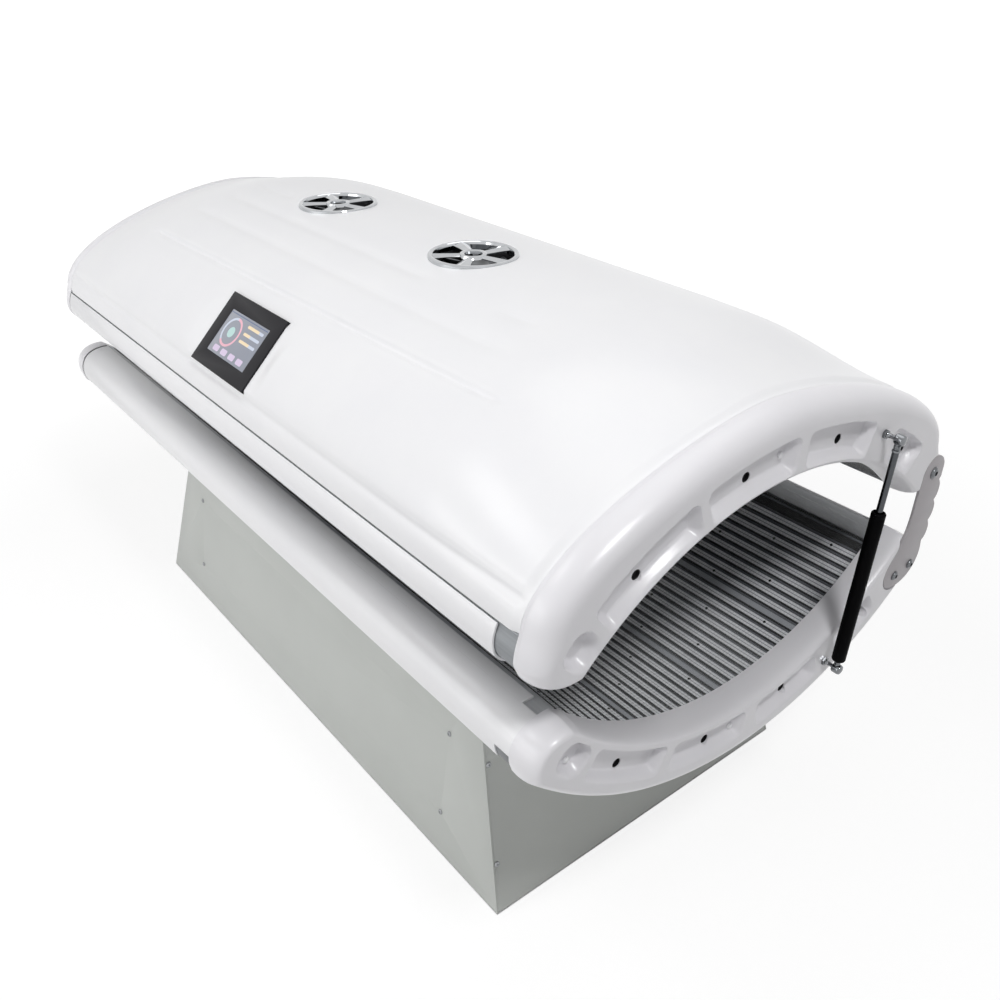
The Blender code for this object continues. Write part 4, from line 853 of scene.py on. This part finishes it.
def lampBoard(name, centreZ, up, tone):
    # pale printed strips between black channels, a plain cover strip at each joint
    finish, shader = newFinish(name, "#83868D", {"IOR": 1.5})
    spot = objectSpot(finish)
    parts = addNode(finish, "SeparateXYZ", {}, {0: spot})
    rise = maths(finish, "MULTIPLY_ADD", parts.outputs[2], up, -up * centreZ)
    angle = maths(finish, "ARCTAN2", parts.outputs[1], rise)
    pitch = math.radians(2 * lampForm["endDeg"] / lampForm["boards"])
    across = maths(finish, "PINGPONG", angle, pitch / 2)
    joint = maths(finish, "PINGPONG", angle, pitch * lampForm["section"] / 2)
    half = pitch * lampForm["fill"] / 2
    grime = noise(finish, lampForm["grimeMm"], 4.0, spot)
    # the pale tone is the boards' own colour on the tub and painted shade on the canopy
    pale = blend(finish, grime, *tone)
    # a thin dark track along the middle of each strip
    start, end = lampForm["track"]
    track = remap(finish, across, start=half * start, end=half * end)
    tracked = blend(finish, track, "#6A6D74", pale)
    plain = maths(finish, "LESS_THAN", joint, pitch / 2)
    strip = blend(finish, plain, tracked, "#A4A7AD")
    # the outermost strip on each side has no chips and is painted black, painted shade of the gap along the
    # rails
    outermost = pitch * (lampForm["boards"] / 2 - 1)
    railGapShade = maths(finish, "GREATER_THAN", maths(finish, "ABSOLUTE", angle), outermost)
    strip = blend(finish, railGapShade, strip, "#08080A")
    # channel: black beside the strips, a grey ridge down the middle
    start, end = lampForm["ridge"]
    ridge = remap(finish, across, start=pitch * start, end=pitch * end)
    channel = blend(finish, ridge, "#010101", "#5E6066")
    onStrip = maths(finish, "LESS_THAN", across, half * lampForm["stripEdge"])
    feed(finish, blend(finish, onStrip, channel, strip), shader.inputs["Base Color"])
    feed(finish, remap(finish, grime, *lampForm["gloss"]), shader.inputs["Roughness"])
    return finish


def lampChip():  # a small block, open below, that narrows to its top
    chip = unitBox(Matrix.Diagonal((*lampForm["chip"], 1)) @ Matrix.Translation((0, 0, 0.5)))
    bpy.ops.object.mode_set(mode="EDIT")
    bpy.ops.mesh.select_mode(type="FACE")
    bpy.ops.mesh.select_all(action="DESELECT")
    bpy.ops.object.mode_set(mode="OBJECT")
    for face in chip.data.polygons:
        face.select = face.normal.z < -0.5
    bpy.ops.object.mode_set(mode="EDIT")
    bpy.ops.mesh.delete(type="FACE")
    bpy.ops.mesh.select_mode(type="VERT")
    bpy.ops.object.mode_set(mode="OBJECT")
    for vertex in chip.data.vertices:
        if vertex.co.z > 0:
            vertex.co.xy *= lampForm["narrow"]
    return chip


for part, body, up, arcZ, node in (("tub", "bed", -1, bedForm["tubArcZ"], "tub_led_deck"),
                                   ("canopy", "canopy", 1, bedForm["canopyArcZ"], "canopy_led_panel")):
    dress(node, lampBoard(part + "LampBoards", arcZ, up, lampForm["tone"][part]))
    chip = lampChip()
    count = int(2 * (bay - lampForm["endGap"]) / lampForm["pitch"])
    moved(chip, Matrix.Translation((-(count - 1) / 2 * lampForm["pitch"], 0, 0)))
    applied(chip, "ARRAY", count=count, use_relative_offset=False, use_constant_offset=True,
            constant_offset_displace=(lampForm["pitch"], 0, 0))
    sections, screws = [[], [], [], []], []
    pitch = 2 * lampForm["endDeg"] / lampForm["boards"]
    for board in range(lampForm["boards"]):
        if board % lampForm["section"] == 0:
            continue
        angle = math.radians(-lampForm["endDeg"] + pitch * (board + 0.5))
        # the arc's inner side: local Z looks at the arc's centre
        onArc = Matrix.Translation((0, 0, arcZ)) @ Matrix.Rotation(-up * angle, 4, "X")
        onArc = onArc @ Matrix.Translation((0, 0, up * lampForm["topR"]))
        if up > 0:
            onArc = onArc @ Matrix.Rotation(math.pi, 4, "X")
        for across in lampForm["rows"]:
            row = moved(cloned(chip), onArc @ Matrix.Translation((0, across, 0)))
            sections[board // lampForm["section"]].append(row)
        for k in range(6 if board % 2 else 0):
            x = lampForm["screwStart"] + lampForm["screwStep"] * k + lampForm["screwShift"] * (board % 5 - 2)
            if abs(x) < lampForm["screwLimit"]:
                head = turned([(lampForm["screwR"], -0.0002), (lampForm["screwR"], 0.0012), (0.0020, 0.0018),
                               (0, 0.0014)], 10)
                screws.append(moved(head, onArc @ Matrix.Translation((x, 0, 0))))
    bpy.data.objects.remove(chip)
    for number, rows in enumerate(sections):
        settle(joined(rows), part + "LampChips" + "ABCD"[number], body, chipResin)
    settle(joined(screws), part + "BoardScrews", body, matteBlack)
    print(part, "lamp boards")


# roof fans: chrome ring, hub ring, five tapered spokes with a ridge, over the CAD nodes of rotor and housing

fanForm = {"top": 1.1795, "ringOuter": 0.100, "ringInner": 0.0885, "deep": 0.022,
           "hubOuter": 0.032, "hubInner": 0.019, "hubCrest": 0.0245, "spokes": 5, "firstTurn": 0.3,
           "spokeR": (0.029, 0.060, 0.0915), "spokeHalf": (0.010, 0.0135, 0.021),
           "across": (-1, -0.55, 0, 0.55, 1, 0.9, -0.9, -1),
           "height": (-0.0060, -0.0036, -0.0014, -0.0036, -0.0060, -0.0085, -0.0085, -0.0060)}


def spokePlace(column, row):
    radius, wide = np.array(fanForm["spokeR"])[column], np.array(fanForm["spokeHalf"])[column]
    return np.stack([radius, wide * np.array(fanForm["across"])[row],
                     fanForm["top"] + np.array(fanForm["height"])[row]], 1)


for label, (fanX, fanY) in zip(("right", "left"), shellForm["fans"]):
    top, outer, inner = fanForm["top"], fanForm["ringOuter"], fanForm["ringInner"]
    hubOuter, hubInner = fanForm["hubOuter"], fanForm["hubInner"]
    parts = [turned([(inner, top - 0.007), (inner + 0.0012, top - 0.0022), (inner + 0.0035, top - 0.0004),
                     (outer - 0.004, top), (outer - 0.0012, top - 0.0010), (outer, top - 0.0030),
                     (outer, top - fanForm["deep"]), (outer - 0.006, top - fanForm["deep"]),
                     (inner, top - 0.007)], 96)]
    parts.append(turned([(hubInner, top - 0.008), (hubInner + 0.001, top - 0.0022),
                         (fanForm["hubCrest"], top - 0.0006), (hubOuter - 0.002, top - 0.0016),
                         (hubOuter, top - 0.008), (hubInner, top - 0.008)], 48))
    for k in range(fanForm["spokes"]):
        spoke = closeUp(bentGrid(2, len(fanForm["across"]) - 1, spokePlace))
        editAll(spoke)
        bpy.ops.mesh.select_all(action="DESELECT")
        bpy.ops.mesh.select_non_manifold()
        bpy.ops.mesh.edge_face_add()
        turn = math.tau * k / fanForm["spokes"] + fanForm["firstTurn"]
        parts.append(moved(facedOut(spoke), Matrix.Rotation(turn, 4, "Z")))
    grille = moved(joined(parts), Matrix.Translation((fanX, fanY, 0)))
    settle(grille, "fanGrille" + label.capitalize(), "canopy", fanChrome, 24,
           [f"fan_grille_{label}"])
    dress(f"fan_housing_{label}", blackPlastic)
    dress(f"fan_rotor_{label}", rotorGrey)
print("roof fans")


# display: bevelled frame, glass, and a plain picture of a dial, three bars and four keys

screenForm = {"face": 0.00355, "panel": "#868A95", "panelGlow": 0.18, "tileGlow": 0.22, "thick": 0.00012,
              "frameSoft": (0.0016, 3), "glassSoft": (0.0005,)}
settleCad("display_bezel", "displayFrame", "canopy", bezelGrey, screenForm["frameSoft"])


def litFinish(name, hexColour, glow):  # backlit colour under glass
    finish, shader = newFinish(name, hexColour, {"Roughness": 0.16, "IOR": 1.5, "Emission Strength": glow})
    shader.inputs["Emission Color"].default_value = linear(hexColour)
    cloud = noise(finish, 60, 2.0, objectSpot(finish))
    tint = blend(finish, cloud, hexColour)
    tint.inputs[7].default_value = [min(1, c * 1.12) for c in linear(hexColour)[:3]] + [1.0]
    feed(finish, tint, shader.inputs["Base Color"])
    return finish


def flatTile(width, height, x, y, lift, corner):
    pickNone()
    bpy.ops.mesh.primitive_plane_add(size=1)
    tile = held()
    moved(tile, Matrix.Diagonal((width, height, 1, 1)))
    editAll(tile)
    bpy.ops.mesh.bevel(offset=corner, segments=4, affect="VERTICES")
    bpy.ops.mesh.select_all(action="SELECT")
    bpy.ops.mesh.extrude_region_move(TRANSFORM_OT_translate={"value": (0, 0, screenForm["thick"])})
    pickNone()
    return moved(tile, Matrix.Translation((x, y, lift)))


def flatRing(outer, inner, x, y, lift, share=1.0):
    steps = 64

    def place(column, row):
        angle = math.pi / 2 - column * (math.tau * share / steps)
        radius = np.where(row == 0, outer, inner)
        return np.stack([x + radius * np.cos(angle), y + radius * np.sin(angle), np.full(len(row), lift)], 1)

    ring = bentGrid(steps, 1, place)
    if share == 1.0:
        closeUp(ring)
    facedOut(ring)
    if ring.data.polygons[0].normal.z < 0:
        ring.data.flip_normals()
    return ring


backlit = litFinish("backlitPanel", screenForm["panel"], screenForm["panelGlow"])
settleCad("display_screen", "displayGlass", "canopy", backlit, screenForm["glassSoft"])
face = screenForm["face"]
tiles = {
    "dialTrack": ("#B9C0CF", [flatRing(0.036, 0.030, -0.040, 0.006, face)]),
    "dialArc": ("#D9A6B4", [flatRing(0.036, 0.030, -0.040, 0.006, face + 0.0001, 0.62)]),
    "dialHeart": ("#A9C6C4", [flatTile(0.026, 0.026, -0.040, 0.006, face, 0.0129)]),
    "barTracks": ("#B9C0CF", [flatTile(0.070, 0.007, 0.042, y, face, 0.0034) for y in (0.036, 0.018, 0.0)]),
    "barFills": ("#DCC9A8", [flatTile(w, 0.007, 0.007 + w / 2, y, face + 0.00015, 0.0034)
                             for w, y in ((0.052, 0.036), (0.030, 0.018), (0.044, 0.0))]),
    "keys": ("#C6B7CF", [flatTile(0.026, 0.014, x, -0.040, face, 0.004)
                         for x in (-0.056, -0.019, 0.018, 0.055)]),
    "topLine": ("#5F6A86", [flatTile(0.168, 0.0022, 0.0, 0.0475, face, 0.0008)]),
}
for name, (hexColour, group) in tiles.items():
    tile = moved(joined(group), displayTurn)
    settle(tile, "display" + name[0].upper() + name[1:], "canopy",
           litFinish(name, hexColour, screenForm["tileGlow"]))
print("display")


# hinge arms, their bolts, and the gas springs

boltForm = {"pivot": (0.006, 0.0125, 0.036), "foot": (0.005, 0.0105, 0.034), "lift": 0.0003}


def capBolt(radius, head, length):  # button head with a hex socket, axis along +X
    bolt = turned([(0, -length), (radius, -length), (radius, 0), (head * 0.88, 0), (head * 0.88, 0.0016),
                   (head * 0.84, 0.0030), (head * 0.70, 0.0046), (head * 0.46, 0.0055), (head * 0.40, 0.0055),
                   (head * 0.38, 0.0030), (0, 0.0026)], 36)
    bore = radius + 0.0002
    washer = turned([(bore, 0), (head * 1.06, 0), (head * 1.06, 0.0010), (head * 1.0, 0.0014), (bore, 0.0014),
                     (bore, 0)], 36)
    return moved(joined([bolt, washer]), sideways)


arm = softEdges(runAlong(armOutline(), armBack, armForm["face"]), *armForm["soft"])
settleBoth(arm, "hingeArm", "bed", armPaint, 30, "hinge_bracket")
boltSpots = [("pivot_bolt", "pivot", bedForm["pivot"])]
boltSpots += [(f"bracket_bolt_{k}", "foot", at) for k, at in enumerate(armForm["bolts"])]
for node, kind, (y, z) in boltSpots:
    bolt = moved(capBolt(*boltForm[kind]), Matrix.Translation((armForm["face"] + boltForm["lift"], y, z)))
    settleBoth(bolt, camel(node), "bed", boltSteel, 30, node)
print("hinge arms and bolts")

gasForm = {"ballX": 1.100, "low": (0.236, 0.484), "high": (0.2806, 0.9934), "ballR": 0.008, "out": 0.030,
           "tubeR": 0.014, "tubeLength": 0.362, "rodR": 0.0065, "rodEnd": 0.100, "gland": 0.0097,
           "lowNeck": 0.0215, "highNeck": -0.0245}
lowSpot, highSpot = np.array(gasForm["low"]), np.array(gasForm["high"])
span = float(np.linalg.norm(highSpot - lowSpot))
lean = math.atan2(highSpot[0] - lowSpot[0], highSpot[1] - lowSpot[1])
atLow = Matrix.Translation((gasForm["ballX"], *gasForm["low"])) @ Matrix.Rotation(-lean, 4, "X")
atHigh = Matrix.Translation((gasForm["ballX"], *gasForm["high"])) @ Matrix.Rotation(-lean, 4, "X")


def socket(reach):  # ball cup with a threaded neck that runs along Z from the ball
    sign = math.copysign(1, reach)
    ball = gasForm["ballR"]
    cup = turned([(ball + 0.0004, -0.0060), (0.0096, -0.0060), (0.0106, -0.0046), (0.0106, 0.0078),
                  (0.0094, 0.0106), (0.0064, 0.0121), (0, 0.0126), (0, 0.0094), (0.0060, 0.0088),
                  (ball + 0.0004, 0.0060), (ball + 0.0004, -0.0060)], 36)
    moved(cup, sideways)
    neckLine = [(0, 0.0085), (0.0066, 0.0085)]
    for k in range(5):  # thread turns
        neckLine += [(0.0066, 0.0100 + 0.0022 * k), (0.0058, 0.0111 + 0.0022 * k)]
    neckLine += [(0.0078, 0.0212), (0.0078, abs(reach)), (0, abs(reach))]
    neck = turned([(r, sign * h) for r, h in neckLine], 28)
    return joined([cup, neck])


def stud():  # ball on a shank with a hex collar, axis along +X from the cap's face
    shank = [(0, -0.017), (0.005, -0.017), (0.005, 0.0002), (0.0052, 0.0068), (0.0060, 0.0072),
             (0.0048, 0.0090), (0.0042, 0.0150)]
    for k in range(9):
        a = math.radians(-58 + 148 * k / 8)
        shank.append((gasForm["ballR"] * math.cos(a) if k < 8 else 0,
                      gasForm["out"] + gasForm["ballR"] * math.sin(a)))
    body = turned(shank, 28)
    nut = turned([(0.0051, 0.0003), (0.0090, 0.0003), (0.0095, 0.0010), (0.0095, 0.0056), (0.0088, 0.0064),
                  (0.0051, 0.0064), (0.0051, 0.0003)], 6)
    return moved(joined([body, nut]), sideways)


tubeR, tubeLength, gland = gasForm["tubeR"], gasForm["tubeLength"], gasForm["gland"]
tubeLine = [(0, 0.020), (0.0105, 0.020), (0.0128, 0.0212), (tubeR, 0.0240), (tubeR, 0.060), (tubeR, 0.300),
            (tubeR, tubeLength - 0.0115), (tubeR - 0.0008, tubeLength - 0.0100), (tubeR, tubeLength - 0.0085),
            (tubeR, tubeLength - 0.0030), (tubeR - 0.0018, tubeLength - 0.0004), (tubeR - 0.003, tubeLength),
            (gland, tubeLength), (gland, tubeLength - 0.012), (0, tubeLength - 0.0125)]
rodR, rodLow = gasForm["rodR"], gasForm["rodEnd"] - span
rodLine = [(0, rodLow), (rodR, rodLow + 0.001), (rodR, -0.022), (0, -0.022)]
gasPieces = {
    "gasTube": (moved(turned(tubeLine, 48), atLow), "gas_cylinder", "spring_black", springBlack, True),
    "gasLowSocket": (moved(socket(gasForm["lowNeck"]), atLow), "gas_cylinder", "chrome", studChrome, False),
    "gasRod": (moved(turned(rodLine, 40), atHigh), "gas_rod", "chrome", rodChrome, True),
    "gasHighSocket": (moved(socket(gasForm["highNeck"]), atHigh), "gas_rod", "chrome", studChrome, False),
}
for name, (piece, node, slot, finish, stands) in gasPieces.items():
    settleBoth(piece, name, node + "_{}", finish, 30, node if stands else None)
for level, body in (("low", "bed"), ("high", "canopy")):
    piece = moved(stud(), Matrix.Translation((bedForm["capFace"], *gasForm[level])))
    settleBoth(piece, "stud" + level.capitalize(), body, studChrome, 30, f"ball_stud_{level}")
print("gas springs and studs")


# base: bent sheet panels with rounded edges, screws and inlet, with frame and supplies as CAD nodes

baseForm = {"floorX": 0.841, "floorY": 0.444, "leanX": 0.311, "leanY": 0.147, "soft": (0.0014, 3, 60),
            "postX": 0.620, "screwZ": (0.107, 0.320), "screwEdge": 0.010, "screwSink": 0.0003,
            "inletSoft": (0.0006,)}
for node in ("base_front_panel", "base_rear_panel", "base_end_panel_right", "base_end_panel_left"):
    settleCad(node, camel(node), "bed", basePaint, baseForm["soft"], 40)


def panelScrew():  # pan head with a cross recess, axis along +Z
    head = turned([(0, -0.004), (0.0030, -0.004), (0.0030, 0.0002), (0.0062, 0.0002), (0.0062, 0.0012),
                   (0.0052, 0.0026), (0.0030, 0.0034), (0, 0.0036)], 24)
    slot = Matrix.Translation((0, 0, 0.0032)) @ Matrix.Diagonal((0.0056, 0.0011, 0.0030, 1))
    for turn in (0, math.pi / 2):
        carved(head, unitBox(Matrix.Rotation(turn, 4, "Z") @ slot))
    return head


screw = panelScrew()
screws = []
tiltY, tiltX = math.atan(baseForm["leanY"]), math.atan(baseForm["leanX"])
for z in baseForm["screwZ"]:
    y = baseForm["floorY"] - baseForm["leanY"] * z
    x = baseForm["floorX"] - baseForm["leanX"] * z
    for side in (1, -1):
        for face in (1, -1):
            long = Matrix.Translation((side * baseForm["postX"], face * y, z))
            screws.append(moved(cloned(screw), long @ Matrix.Rotation(-face * (math.pi / 2 - tiltY), 4, "X")))
            inX, inY = x - baseForm["screwSink"], y - baseForm["screwEdge"]
            short = Matrix.Translation((side * inX, face * inY, z))
            screws.append(moved(cloned(screw), short @ Matrix.Rotation(side * (math.pi / 2 - tiltX), 4, "Y")))
bpy.data.objects.remove(screw)
settle(joined(screws), "baseScrews", "bed", zincPlate)
settleCad("mains_inlet", "mainsInlet", "bed", blackPlastic, baseForm["inletSoft"])
dress("base_frame", framePaint)
dress("control_box", blackPlastic)
for label in ("left", "right"):
    dress(f"power_supply_{label}", railMetal)
    dress(f"tub_rib_{label}", ribSteel)
    dress(f"canopy_rib_{label}", ribSteel)
print("base")


# floor, light and camera

stageForm = {"floor": 60.0, "floorDrop": 0.0004, "skyLow": 0.20, "skyHigh": 0.22, "near": 0.70, "white": 1.15,
             "veil": (1.6, 4.0)}


def seenRays(finish):  # one for the camera, reflections and what is seen through the acrylic
    rays = addNode(finish, "LightPath").outputs
    direct = maths(finish, "MAXIMUM", rays["Is Camera Ray"], rays["Is Glossy Ray"])
    return maths(finish, "MAXIMUM", direct, rays["Is Transmission Ray"])


pickNone()
bpy.ops.mesh.primitive_plane_add(size=stageForm["floor"], location=(0, 0, -stageForm["floorDrop"]))
floor = held()
floor.name = "floor"
ground, shader = newFinish("paleFloor", "#EDEDED", {"Roughness": 0.55, "IOR": 1.4})
spot = objectSpot(ground)
# the floor inside the base stays as dark as its light leaves it
folded = addNode(ground, "VectorMath", {"operation": "ABSOLUTE"}, {0: spot})
axes = addNode(ground, "SeparateXYZ", {}, {0: folded})
outside = [maths(ground, "GREATER_THAN", axes.outputs[axis], baseForm[reach])
           for axis, reach in enumerate(("floorX", "floorY"))]
seen = maths(ground, "MULTIPLY", seenRays(ground), maths(ground, "MAXIMUM", *outside))
# white further off, with the shadow kept near the bed
away = addNode(ground, "VectorMath", {"operation": "LENGTH"}, {0: spot}).outputs["Value"]
veil = remap(ground, away, stageForm["near"], 1.0, *stageForm["veil"])
glow = addNode(ground, "Emission", {"Color": (1, 1, 1, 1), "Strength": stageForm["white"]})
share = maths(ground, "MULTIPLY", veil, seen)
both = addNode(ground, "MixShader", {}, {0: share, 1: shader, 2: glow})
feed(ground, both, ground.node_tree.nodes["Material Output"].inputs["Surface"])
floor.data.materials.append(ground)

sky = bpy.data.worlds.new("studio")
bpy.context.scene.world = sky
sky.use_nodes = True
dome = sky.node_tree.nodes["Background"]
dome.inputs["Color"].default_value = (1, 1, 1, 1)
heading = addNode(sky, "SeparateXYZ", {}, {0: addNode(sky, "TexCoord").outputs["Generated"]})
# surfaces get an even sky, a little brighter overhead, and the camera sees white
lit = remap(sky, heading.outputs[2], stageForm["skyLow"], stageForm["skyHigh"])
level = addNode(sky, "Mix", {"data_type": "FLOAT", 3: 1.0}, {0: seenRays(sky), 2: lit})
feed(sky, level, dome.inputs["Strength"])

lightForm = {  # place, aim, size and power of each soft box
    "keyBox": ((-0.75, -2.3, 4.4), (0, 0, 0.8), (1.3, 1.0), 20),
    "topBox": ((0.4, 0.6, 4.2), (0, 0, 1.0), (3.0, 2.4), 30),
    "endBox": ((2.9, -0.6, 4.55), (0.95, 0, 0.8), (0.7, 0.7), 68),
    "frontBox": ((-0.5, -4.0, 2.5), (0, 0, 0.7), (4.0, 1.2), 46),
    "lowBox": ((-0.3, -4.4, 1.0), (0, 0, 0.7), (4.0, 0.35), 24),
}
for name, (place, aim, size, power) in lightForm.items():
    lamp = bpy.data.lights.new(name, "AREA")
    lamp.shape = "RECTANGLE"
    lamp.size, lamp.size_y = size
    lamp.energy = power
    holder = bpy.data.objects.new(name, lamp)
    bpy.context.scene.collection.objects.link(holder)
    holder.location = place
    holder.rotation_euler = (Vector(aim) - Vector(place)).to_track_quat("-Z", "Y").to_euler()

cameraForm = {"place": (1.8975679, -1.27770525, 1.80553684), "azimuth": 51.475888, "elevation": 30.498006,
              "focal": 0.9873129}
eye = bpy.data.cameras.new("camera")
camera = bpy.data.objects.new("camera", eye)
bpy.context.scene.collection.objects.link(camera)
camera.location = cameraForm["place"]
camera.rotation_euler = (math.radians(90 - cameraForm["elevation"]), 0, math.radians(cameraForm["azimuth"]))
eye.sensor_width = 36
eye.lens = 36 * cameraForm["focal"]
eye.clip_start, eye.clip_end = 0.05, 100
bpy.context.scene.camera = camera
bpy.context.scene.view_settings.view_transform = "Standard"
print("stage and camera")

pickNone()
